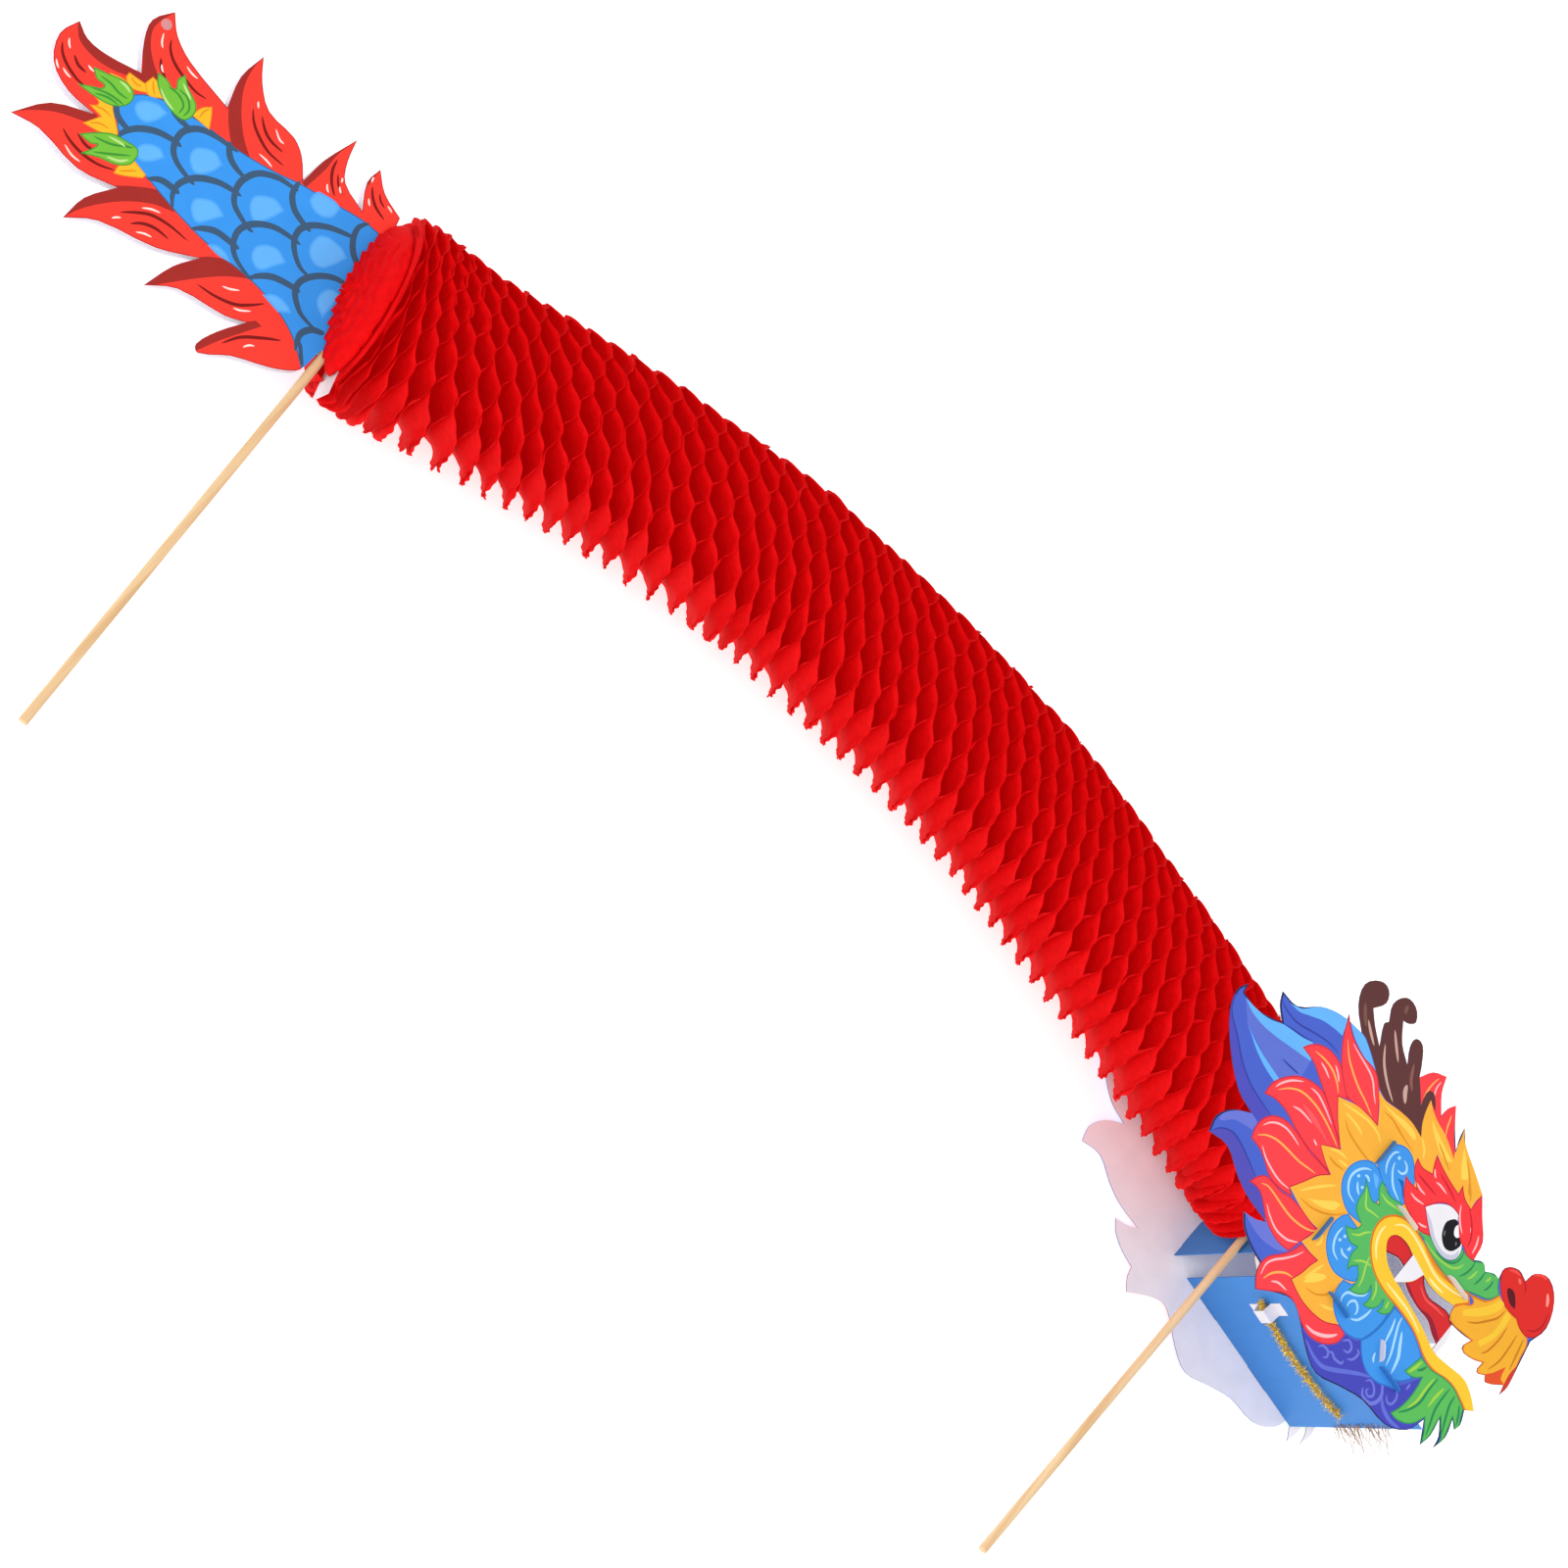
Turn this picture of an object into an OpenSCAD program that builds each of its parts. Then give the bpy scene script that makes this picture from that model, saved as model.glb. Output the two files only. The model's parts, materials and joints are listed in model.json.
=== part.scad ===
// Paper dragon-dance puppet: a printed card head and tail on two sticks, joined by a honeycomb
// tissue body. It lies on its left side: +X is forward, +Y is the dragon's own up, +Z its right.

/* [Body] */
// Diameter of the honeycomb body
body_d = 100; // [84:1:104]
// Length of the body along its bent centre line
body_len = 708; // [600:1:760]
// Largest bend of one bending joint, in degrees
bend_max = 24; // [5:1:26]
// Largest side bend of one sideways joint, in degrees
sway_max = 15; // [5:1:20]
// Gap that a stretching joint has at rest
stretch_gap = 20; // [5:1:24]

/* [Head] */
// Outer width of the head over its two side panels
head_w = 112; // [104:1:120]
// Thickness of the printed card
card_t = 0.5; // [0.3:0.1:0.8]
// How far the tabs of the cross strips stand out of the panels
tab_out = 4; // [2:0.5:6]
// Lean of the head, in degrees
head_lean = -4.8; // [-8:0.1:8]
// Diameter of the tinsel stem under the chin
tinsel_d = 5.6; // [3:0.1:7]

/* [Sticks] */
// Diameter of both sticks
stick_d = 5; // [4:0.5:5]
// Length of both sticks
stick_len = 260; // [200:10:300]

/* [Tail] */
// Space between the two tail cards, which hold the stick
tail_space = 5.2; // [5.2:0.1:8]

/* [Hidden] */
$fn = 64;

body_r = body_d / 2;
// the panels stand on the tabs, and the middle plane holds the sticks and the body's centre line
low_face = tab_out;
mid_z = low_face + head_w / 2;
high_face = low_face + head_w;
slot_gap = 0.2; // free space round a tab in its slot

// heads of the two printed outlines: where their own zero lies, before the whole part is centred
head_at = [373, 29];
tail_at = [-338.2, 34.5];

// direction of the centre line in each block, from the head to the tail, in degrees
heading = [head_lean, -6, -6, -4, -4, 1, 4.5, 8, 8, 16, 16, 21, 20, 18];
// what each joint between two blocks does: bend in the plane, sway sideways, stretch or twist
joint_kind = ["bend", "bend", "sway", "stretch", "bend", "sway", "bend", "twist", "bend",
    "stretch", "bend", "sway", "bend"];
blocks = len(heading);
block_len = body_len / blocks;
joint_gap = 0.3; // half of the gap between two blocks on the centre line
glue_gap = 0.02; // the glue between an end block and its disc
spare_angle = 0.4; // degrees left over when a joint is at its limit

disc_t = 0.6;
disc_r = body_r - 8; // smaller than the tissue, so that the end sheets hide the disc
tail_disc_r = body_r / 2;
neck_v = 44; // height of the body's centre over the head's zero
neck_u = -1.75 - stick_d - 0.1 - disc_t; // where the tissue starts, behind wall, stick and disc

function turn(p, a) = [p[0] * cos(a) - p[1] * sin(a), p[0] * sin(a) + p[1] * cos(a)];
function head_point(u, v) = head_at + turn([u, v], head_lean);
function along(a) = [cos(a), sin(a)];
// joint k lies after k blocks; joint 0 is the end at the neck
function joint_at(k) = k == 0 ? head_point(neck_u, neck_v)
    : joint_at(k - 1) - block_len * along(heading[k - 1]);
tail_end = joint_at(blocks);
tail_angle = heading[blocks - 1];

// a closed outline as points; a third number marks a sharp corner, all others are rounded through
function flat_point(p) = [p[0], p[1]];
function is_tip(p) = len(p) > 2;
function unit(v) = v / norm(v);
function bow(p, m, q, n, t) = (2 * t * t * t - 3 * t * t + 1) * p + (t * t * t - 2 * t * t + t) * m
    + (3 * t * t - 2 * t * t * t) * q + (t * t * t - t * t) * n;
function rounded(points, steps = 3) = let (count = len(points)) [for (i = [0 : count - 1])
    let (before = points[(i + count - 1) % count], here = points[i],
        next = points[(i + 1) % count], after = points[(i + 2) % count],
        p = flat_point(here), q = flat_point(next), chord = q - p,
        m = is_tip(here) ? chord : unit(q - flat_point(before)) * norm(chord),
        n = is_tip(next) ? chord : unit(flat_point(after) - p) * norm(chord),
        parts = is_tip(here) && is_tip(next) ? 1 : steps)
    for (k = [0 : parts - 1]) bow(p, m, q, n, k / parts)];

// side panel of the head, clockwise from the end of the mane: mane, antlers, crest and brow
crown = [[-109, 77.5, 1], [-97, 79.5], [-86, 92], [-77, 98], [-69.5, 101, 1], [-70.5, 104, 1],
    [-67.5, 101.5, 1], [-57.5, 103.5, 1], [-70, 112.5], [-75, 124], [-69, 133.5], [-62, 134.5],
    [-58, 128], [-62, 119, 1], [-54, 113], [-44, 107.5, 1], [-51, 119], [-49.5, 122.5, 1],
    [-54.5, 131.5], [-51, 141], [-43, 142.5], [-37, 137], [-39.5, 132.5], [-43.5, 130.5, 1],
    [-35, 121], [-24, 115.5, 1], [-30, 124], [-30.5, 130.5], [-25, 131.5], [-18.5, 124.5],
    [-14, 117.5, 1], [-9.5, 127], [-1.5, 132.5, 1], [2.5, 123.5], [11, 114.5, 1], [11.5, 121],
    [14, 126.5, 1], [22.5, 117], [32, 108.5, 1], [28.5, 116], [27, 122.5, 1], [34, 116.5],
    [48, 111.5], [61, 106.5, 1], [70, 97.5], [79.5, 88.5], [82, 77, 1]];
// ridged snout, nose and fan-shaped moustache
muzzle = [[87.5, 81], [92, 78.5, 1], [97, 82.5], [101.5, 83, 1], [100.5, 91], [108, 97.5],
    [115.5, 96.5, 1], [117.5, 105], [126.5, 110.5], [137.5, 104.5], [144, 89.5], [141, 76, 1],
    [145, 57], [147, 46], [146, 39, 1], [144.5, 45, 1], [134.5, 36.5], [131.5, 39, 1],
    [126, 36], [125.5, 42.5, 1], [119, 38.5], [110, 37], [111.5, 45, 1], [104, 42.5], [93, 41.5],
    [90, 49, 1]];
// open mouth, from the upper lip past the fang to the end of the lower lip
mouth = [[80, 45.5], [71, 44], [63.5, 44.5, 1], [60.5, 36], [53.5, 28, 1], [70, 26], [84, 24],
    [98, 21], [110, 23.5], [123, 26.5], [132, 24], [139.5, 19.5, 1], [134.5, 15, 1]];
// tufts of the chin, jaw, and the lower flames and locks of the mane
jaw = [[138, 7.5], [137, 2.5, 1], [132, 6, 1], [135.5, -5], [133.5, -15, 1], [132, -8],
    [125.5, -0.5, 1], [127.5, -12], [126, -20.5, 1], [118.5, -9, 1], [114, -22], [101, -31],
    [82, -33], [66, -39.5], [50, -46.5], [36, -42.5], [20, -33.5], [11.5, -31.5], [1, -37.5],
    [-9, -46, 1], [-14.5, -40], [-16.5, -34, 1], [-27, -32.5], [-37, -29], [-43, -23.5, 1],
    [-35, -20.5], [-29, -16, 1], [-47, -16], [-60, -13], [-75, -7.5], [-88.5, -11.5, 1],
    [-91, -2], [-86.5, 8], [-76.5, 16.5, 1], [-91, 18.5], [-110, 29.5], [-125, 43.5],
    [-129.5, 55], [-127, 62.5, 1], [-125.5, 57, 1], [-113, 57.5], [-97, 65.5, 1], [-105, 71]];
panel_outline = rounded(concat(crown, muzzle, mouth, jaw));
// the corner of the mouth behind the fang
mouth_corner = rounded([[51, 46.5, 1], [44, 48], [36, 46], [33, 40.5], [36.5, 34.5], [43, 30],
    [51, 28, 1]]);
tongue_outline = rounded([[30, 33, 1], [37, 34], [45, 38], [51, 37.5], [60, 31.5], [73, 29.5],
    [83, 30], [90, 27], [96, 25.5, 1], [96, 17, 1], [100, 17, 1], [100, 35, 1], [97, 40.5, 1],
    [90, 43.5], [82, 41.5], [75, 39.5], [67, 42.5], [60, 51, 1], [31, 51, 1]]);

// tail card, clockwise from its end at the tissue: upper flames, tip, then the lower flames
tail_outline = rounded([[-3.5, 9, 1], [-17, 11.5], [-27, 18.5, 1], [-27, 8], [-19, -4.5, 1],
    [-34, -1.5], [-40.5, 7], [-45, 19.5, 1], [-49, -2], [-49, -18.5, 1], [-58, -10], [-67, -6.5],
    [-84, -7.5], [-96, 0], [-104.5, 10, 1], [-105, -7], [-99, -23.5, 1], [-126, -22.5],
    [-139, -18.5], [-148, -11, 1], [-152.5, -23], [-148, -34], [-138, -46.5, 1], [-155, -54],
    [-166, -56], [-174.5, -53, 1], [-176.5, -65], [-169, -77.5], [-155, -82], [-139, -80, 1],
    [-156, -93], [-165, -112, 1], [-151, -106.5], [-126, -105.5], [-107, -96.5, 1], [-114, -113],
    [-114, -128, 1], [-102, -115.5], [-75, -102.5], [-57, -88.5, 1], [-63, -102], [-66, -120, 1],
    [-54, -108], [-30, -99], [-20, -92.5, 1], [-26.5, -107], [-29.5, -120], [-26, -122.5],
    [-14, -110.5], [3, -99], [13, -89.5], [14.5, -84, 1], [14.5, -72, 1], [22.5, -70.5, 1]]);

// the cross strips' tabs: [u, v, angle, length] of each slot in the head's side panels
tab_len = 18;
wall_u = -1.5;
floor_at = [13.5, -10];
floor_tilt = -1.9;
floor_len = 108;
palate_v = 57;
jaw_at = [71.7, -6];
jaw_tilt = -49;
jaw_tab = 12;
wall_slots = [9.5, 70.5];
floor_slots = [21, 73];
palate_slots = [33.5, 84];

// the part's own zero: under the middle of its bounding box
back_x = tail_at[0] - 176.6;
front_x = max([for (p = panel_outline) head_point(p[0], p[1])[0]]);
top_y = max([for (p = panel_outline) head_point(p[0], p[1])[1]]);
tail_stick_lean = 4.7;
tail_stick_foot = [-300.5, -277.5];
foot_y = tail_stick_foot[1] - stick_d / 2 * sin(tail_stick_lean);
centre = [(back_x + front_x) / 2, (top_y + foot_y) / 2];

module placed() {
    translate([-centre[0], -centre[1], 0]) children();
}

module on_head() {
    placed() translate([head_at[0], head_at[1], 0]) rotate([0, 0, head_lean]) children();
}

module on_tail() {
    placed() translate([tail_at[0], tail_at[1], 0]) children();
}

// a card lying flat in the plane of the outline, its lower face at z
module flat_card(z, outline) {
    translate([0, 0, z]) linear_extrude(card_t) polygon(outline);
}

// slots for one strip whose line starts at a point and runs at an angle
module slot(at, angle, middle, long) {
    translate([at[0], at[1], 0]) rotate([0, 0, angle]) translate([middle, 0, 0])
        cube([long + 2 * slot_gap, card_t + 2 * slot_gap, 4 * card_t], center = true);
}

module panel(z) {
    difference() {
        flat_card(z, panel_outline);
        flat_card_cut(z, mouth_corner);
        translate([0, 0, z + card_t / 2]) {
            for (m = wall_slots) slot([wall_u, 0], 90, m, tab_len);
            for (m = floor_slots) slot(floor_at, floor_tilt, m, tab_len);
            for (m = palate_slots) slot([0, palate_v], 0, m, tab_len);
            slot(jaw_at, jaw_tilt, 0, jaw_tab);
        }
    }
}

module flat_card_cut(z, outline) {
    translate([0, 0, z - card_t]) linear_extrude(3 * card_t) polygon(outline);
}

// a cross strip seen along its line: a rectangle with round-ended tabs at both long edges
module strip(from, to, tabs, long) {
    inside = card_t + slot_gap;
    translate([0, card_t / 2, 0]) rotate([90, 0, 0]) linear_extrude(card_t) union() {
        translate([from, low_face + inside]) square([to - from, head_w - 2 * inside]);
        for (m = tabs) translate([m - long / 2, 0]) tab_shape(long);
    }
}

// both tabs of one slot pair and the stretch between them, with rounded corners
module tab_shape(long) {
    round_r = tab_out - 0.5;
    translate([0, round_r]) square([long, high_face + tab_out - 2 * round_r]);
    for (x = [round_r, long - round_r]) for (y = [round_r, high_face + tab_out - round_r])
        translate([x, y]) circle(round_r);
    translate([round_r, 0]) square([long - 2 * round_r, high_face + tab_out]);
}

module head_panel_right() {
    color("orangered") on_head() panel(high_face - card_t);
}

module head_panel_left() {
    color("orangered") on_head() panel(low_face);
}

module neck_wall() {
    color("royalblue") on_head() translate([wall_u, 0, 0]) rotate([0, 0, 90])
        strip(-8, 92, wall_slots, tab_len);
}

module throat_floor() {
    color("royalblue") on_head() translate([floor_at[0], floor_at[1], 0])
        rotate([0, 0, floor_tilt]) strip(0, floor_len, floor_slots, tab_len);
}

// the roof of the mouth ends in a flap with bevelled corners
module palate() {
    color("gainsboro") on_head() translate([0, palate_v, 0]) union() {
        strip(18, 108, palate_slots, tab_len);
        translate([0, card_t / 2, 0]) rotate([90, 0, 0]) linear_extrude(card_t)
            polygon([[107, mid_z - 32], [124.5, mid_z - 15], [124.5, mid_z + 15],
                [107, mid_z + 32]]);
    }
}

module jaw_strip() {
    color("gainsboro") on_head() translate([jaw_at[0], jaw_at[1], 0]) rotate([0, 0, jaw_tilt])
        strip(-9, 6.2, [0], jaw_tab);
}

module tongue_right() {
    color("firebrick") on_head() flat_card(high_face - 2 * card_t - 0.1, tongue_outline);
}

module tongue_left() {
    color("firebrick") on_head() flat_card(low_face + card_t + 0.1, tongue_outline);
}

// a stick whose foot is at a point and which leans to the left going up
module stick(foot, lean) {
    translate([foot[0], foot[1], mid_z]) rotate([0, 0, lean]) rotate([-90, 0, 0])
        cylinder(h = stick_len, d = stick_d);
}

head_stick_u = wall_u - card_t / 2 - stick_d / 2 - 0.05;
head_stick_foot_v = -236;

module head_stick() {
    color("burlywood") on_head() stick([head_stick_u, head_stick_foot_v], 0);
}

// place under the throat strip: x along the strip from its back edge, y away from the head
module under_floor() {
    on_head() translate([floor_at[0], floor_at[1], 0]) rotate([0, 0, floor_tilt])
        translate([0, -card_t / 2, 0]) children();
}

// the stem lies in a shallow bow of this radius and angle
bow_r = 142;
bow_angle = 34;
bow_middle = 56;
bow_low_z = mid_z - 7;

module tinsel_stem() {
    color("goldenrod") under_floor() translate([bow_middle, -tinsel_d / 2 - 0.1, bow_low_z + bow_r])
        rotate([90, 0, 0]) rotate([0, 0, 270 - bow_angle / 2])
        rotate_extrude(angle = bow_angle, $fn = 180) translate([bow_r, 0])
        circle(d = tinsel_d, $fn = 24);
}

// a strip of paper tape bent over the stem, its two ends on the throat strip
tape_from = 19;
tape_w = 8.5;
tape_t = 0.3;

module tape_bridge() {
    deep = tinsel_d + 0.3;
    polygon([[-13, 0], [-5, 0], [-3.6, -deep], [3.6, -deep], [5, 0], [13, 0],
        [13, -tape_t], [5.6, -tape_t], [4.2, -deep - tape_t], [-4.2, -deep - tape_t],
        [-5.6, -tape_t], [-13, -tape_t]]);
}

module tinsel_tape() {
    color("white") under_floor() translate([tape_from, -0.02, mid_z - 3.1])
        rotate([0, 90, 0]) linear_extrude(tape_w) tape_bridge();
}

// a short fringe of coarse fibres glued over the front edge of the throat strip
fringe_w = 60;

module chin_fringe() {
    color("tan") under_floor() translate([floor_len - 8, 0, mid_z - fringe_w / 3])
        linear_extrude(fringe_w) polygon([[0, -0.05], [10, -0.05], [16, -6], [13, -10], [2, -1.5]]);
}

module neck_disc() {
    color("firebrick") on_head() translate([neck_u, neck_v, mid_z]) rotate([0, 90, 0])
        cylinder(h = disc_t, r = disc_r);
}

// how far the rim of an end face stands back, and the gap at its centre, for each kind of joint
function kink(k) = k < 1 || k > blocks - 1 ? 0 : abs(heading[k] - heading[k - 1]);
function kind(k) = k < 1 || k > blocks - 1 ? "glued" : joint_kind[k - 1];
function half_angle(k) = let (most = kind(k) == "bend" ? bend_max : kind(k) == "sway" ? sway_max : 0)
    most == 0 ? 0 : (most + kink(k)) / 2 + spare_angle;
function face_gap(k) = kind(k) == "stretch" ? stretch_gap / 2 : kind(k) == "glued" ? glue_gap : joint_gap;

// one block of tissue, a short drum turned about the centre line, between joints k and k + 1
module drum(k) {
    front_back = body_r * tan(half_angle(k));
    rear_back = body_r * tan(half_angle(k + 1));
    from = face_gap(k);
    to = block_len - face_gap(k + 1);
    start = joint_at(k);
    placed() translate([start[0], start[1], mid_z]) rotate([0, 0, heading[k]])
        rotate([0, -90, 0]) rotate_extrude($fn = 96)
        polygon([[0, from], [0, to], [body_r, to - rear_back], [body_r, from + front_back]]);
}

module tissue(k) {
    color("red") drum(k);
}

module tail_disc() {
    color("white") placed() translate([tail_end[0], tail_end[1], mid_z])
        rotate([0, 0, tail_angle]) translate([-disc_t, 0, 0]) union() {
            rotate([0, 90, 0]) cylinder(h = disc_t, r = tail_disc_r);
            translate([0, -body_r - 3, -9]) cube([disc_t, body_r + 5 - tail_disc_r, 18]);
        }
}

module tail_card_right() {
    color("tomato") on_tail() flat_card(mid_z + tail_space / 2, tail_outline);
}

module tail_card_left() {
    color("tomato") on_tail() flat_card(mid_z - tail_space / 2 - card_t, tail_outline);
}

module tail_stick() {
    color("burlywood") placed() stick(tail_stick_foot, tail_stick_lean);
}

module round_sticker() {
    color("lavender") on_tail() translate([-146.5, -19, mid_z + tail_space / 2 + card_t])
        cylinder(h = 0.2, r = 2.8);
}

head_panel_right();
head_panel_left();
neck_wall();
throat_floor();
palate();
jaw_strip();
tongue_right();
tongue_left();
head_stick();
tinsel_stem();
tinsel_tape();
chin_fringe();
neck_disc();
tissue(0);  // honeycomb_01
tissue(1);  // honeycomb_02
tissue(2);  // honeycomb_03
tissue(3);  // honeycomb_04
tissue(4);  // honeycomb_05
tissue(5);  // honeycomb_06
tissue(6);  // honeycomb_07
tissue(7);  // honeycomb_08
tissue(8);  // honeycomb_09
tissue(9);  // honeycomb_10
tissue(10);  // honeycomb_11
tissue(11);  // honeycomb_12
tissue(12);  // honeycomb_13
tissue(13);  // honeycomb_14
tail_disc();
tail_card_right();
tail_card_left();
tail_stick();
round_sticker();
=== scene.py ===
"""A paper dragon-dance puppet: printed card head and tail on two sticks, joined by honeycomb tissue.

It lies on its left side: +X is forward, +Y the dragon's own up and +Z its right side. Lengths in the
sections are in millimetres and become metres as a mesh is made.
"""
import json
import math

import bpy
import numpy as np
from mathutils import Matrix, Quaternion, Vector
from mathutils.geometry import delaunay_2d_cdt


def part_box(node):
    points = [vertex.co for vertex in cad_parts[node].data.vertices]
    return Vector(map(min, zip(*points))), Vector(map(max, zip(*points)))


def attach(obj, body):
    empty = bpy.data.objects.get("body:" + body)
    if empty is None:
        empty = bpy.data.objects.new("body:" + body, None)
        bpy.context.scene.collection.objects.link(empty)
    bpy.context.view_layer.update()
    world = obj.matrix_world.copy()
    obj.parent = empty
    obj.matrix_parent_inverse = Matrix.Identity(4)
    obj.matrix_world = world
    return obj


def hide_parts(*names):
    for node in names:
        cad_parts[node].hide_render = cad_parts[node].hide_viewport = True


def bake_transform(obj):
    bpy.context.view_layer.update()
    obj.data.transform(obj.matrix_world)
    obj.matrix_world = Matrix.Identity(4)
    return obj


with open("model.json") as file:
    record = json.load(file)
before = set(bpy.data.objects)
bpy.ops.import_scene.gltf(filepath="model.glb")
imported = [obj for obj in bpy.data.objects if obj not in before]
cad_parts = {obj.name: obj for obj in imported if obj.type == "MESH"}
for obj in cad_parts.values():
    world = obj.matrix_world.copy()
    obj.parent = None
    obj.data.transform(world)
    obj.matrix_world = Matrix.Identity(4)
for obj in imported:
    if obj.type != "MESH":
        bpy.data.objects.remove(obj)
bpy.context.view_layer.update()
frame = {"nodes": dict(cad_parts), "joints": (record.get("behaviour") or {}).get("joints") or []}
MM = 0.001

# ---------------------------------------------------------------------------------------------------
# Head panels: two die-cut cards of half-millimetre board, white inside and printed in flat colours
# outside. Each colour of the print is a closed outline or a tapered brush line on the card's own
# axes, u forward and v up, and the card's face is cut along all of them.
head_zero, head_lean = np.array([368.408, 80.257]), math.radians(-4.8)
head_trim = 0.9                  # the dark line that is printed along the cut edge


def ink(red, green, blue):
    """A colour from its three screen values, 0 to 255, as the linear values that a shader takes."""
    screen = np.array([red, green, blue]) / 255
    return tuple(np.where(screen < 0.04, screen / 12.92, ((screen + 0.055) / 1.055) ** 2.4))


card_white = ink(248, 243, 250)


class Wire:
    """A shader node's output, on which + and * add Math nodes."""

    def __init__(self, tree, socket):
        self.tree, self.socket = tree, socket

    def node(self, kind, settings=None, inputs=None, out=0):
        """A new node of a kind, its settings made first, then its inputs set or linked."""
        made = self.tree.nodes.new(kind)
        for key, value in (settings or {}).items():
            setattr(made, key, value)
        for key, value in (inputs or {}).items():
            target = made.inputs[key]
            if isinstance(value, Wire):
                self.tree.links.new(value.socket, target)
            elif target.type == "RGBA":
                target.default_value = (*value, 1)
            else:
                target.default_value = value
        return Wire(self.tree, made.outputs[out])

    def maths(self, operation, *values):
        """One Math node on these values."""
        return self.node("ShaderNodeMath", {"operation": operation}, dict(enumerate(values)))

    def __add__(self, other):
        return self.maths("ADD", self, other)

    def __radd__(self, other):
        return self.maths("ADD", other, self)

    def __mul__(self, other):
        return self.maths("MULTIPLY", self, other)

    def __rmul__(self, other):
        return self.maths("MULTIPLY", other, self)

    def between(self, low, high):
        """0 at low, 1 at high, with a straight rise between them."""
        return self.node("ShaderNodeMapRange", {"clamp": True},
                         {"Value": self, "From Min": low, "From Max": high})

    def mix(self, first, second):
        """The first colour where this is 0 and the second where it is 1."""
        return self.node("ShaderNodeMix", {"data_type": "RGBA"},
                         {"Factor": self, 6: first, 7: second}, out=2)


def finish_of(name, roughness=0.6, **sockets):
    """A new material with one Principled shader: it, a Wire of object coordinates, and its shader."""
    material = bpy.data.materials.new(name)
    material.use_nodes = True
    tree = material.node_tree
    tree.nodes.clear()
    shader = tree.nodes.new("ShaderNodeBsdfPrincipled")
    result = tree.nodes.new("ShaderNodeOutputMaterial")
    tree.links.new(shader.outputs[0], result.inputs[0])
    shader.inputs["Roughness"].default_value = roughness
    for key, value in sockets.items():
        shader.inputs[key.replace("_", " ")].default_value = value
    place = Wire(tree, tree.nodes.new("ShaderNodeTexCoord").outputs["Object"])
    return material, place, shader


def drive(shader, **wires):
    """Links wires to the shader's sockets of those names."""
    for key, wire in wires.items():
        wire.tree.links.new(wire.socket, shader.inputs[key.replace("_", " ")])


def noise(place, scale, detail=2.0, stretch=(1, 1, 1)):
    """Noise of that many cells per metre, drawn out along the axes by stretch."""
    drawn = place.node("ShaderNodeMapping", None, {"Vector": place, "Scale": stretch})
    return place.node("ShaderNodeTexNoise", None, {"Vector": drawn, "Scale": scale, "Detail": detail})


def bump(height, distance, strength):
    """A normal from a height, distance metres high."""
    return height.node("ShaderNodeBump", None,
                       {"Height": height, "Distance": distance, "Strength": strength})


def piece(name, points, faces, material, smooth=False):
    """A mesh object from points in millimetres and faces of point numbers."""
    mesh = bpy.data.meshes.new(name)
    mesh.from_pydata((np.asarray(points, float).reshape(-1, 3) * MM).tolist(), [], faces)
    mesh.update()
    mesh.polygons.foreach_set("use_smooth", [smooth] * len(mesh.polygons))
    mesh.materials.append(material)
    made = bpy.data.objects.new(name, mesh)
    bpy.context.scene.collection.objects.link(made)
    return made


def hermite(starts, leaves, ends, arrives, steps):
    """Points on cubic curves, a row of so many steps for each, its end left out.

    At t from 0 to 1 a curve is start (2t^3 - 3t^2 + 1) + leave (t^3 - 2t^2 + t)
    + end (3t^2 - 2t^3) + arrive (t^3 - t^2), where leave and arrive are its end slopes.
    """
    t = (np.arange(steps) / steps)[:, None]
    return ((2 * t**3 - 3 * t**2 + 1) * starts[:, None] + (t**3 - 2 * t**2 + t) * leaves[:, None]
            + (3 * t**2 - 2 * t**3) * ends[:, None] + (t**3 - t**2) * arrives[:, None])


def smooth_loop(points, steps=5):
    """A closed outline through points, on Hermite cubics. A third number marks a sharp corner.

    Each slope points from the neighbour before to the neighbour after and is as long as the chord;
    at a corner it is the chord itself, and between two corners the outline is straight.
    """
    spots = np.array([p[:2] for p in points], float)
    sharp = np.array([len(p) > 2 for p in points])[:, None]
    after, next_sharp = np.roll(spots, -1, 0), np.roll(sharp, -1, 0)
    chord = after - spots
    size = np.linalg.norm(chord, axis=1)[:, None]
    way = after - np.roll(spots, 1, 0)
    way /= np.linalg.norm(way, axis=1)[:, None] + 1e-9
    leave = np.where(sharp, chord, way * size)
    arrive = np.where(next_sharp, chord, np.roll(way, -1, 0) * size)
    curve = hermite(spots, leave, after, arrive, steps)
    return curve[~(sharp & next_sharp) | (np.arange(steps) == 0)]


def inset(loop, depth):
    """The same outline, every point moved inwards by depth along the bisector of its corner."""
    ahead = np.roll(loop, -1, 0) - loop
    ahead /= np.linalg.norm(ahead, axis=1)[:, None] + 1e-9
    along = ahead + np.roll(ahead, 1, 0)
    size = np.linalg.norm(along, axis=1)[:, None]
    along = np.where(size > 0.3, along / (size + 1e-9), ahead)
    x, y = loop.T
    area = np.sum(x * np.roll(y, -1) - np.roll(x, -1) * y)
    inwards = np.stack([-along[:, 1], along[:, 0]], -1) * np.sign(area)
    reach = np.minimum(2 / np.maximum(size, 0.7), 2.4)
    return loop + inwards * depth * reach


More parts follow.
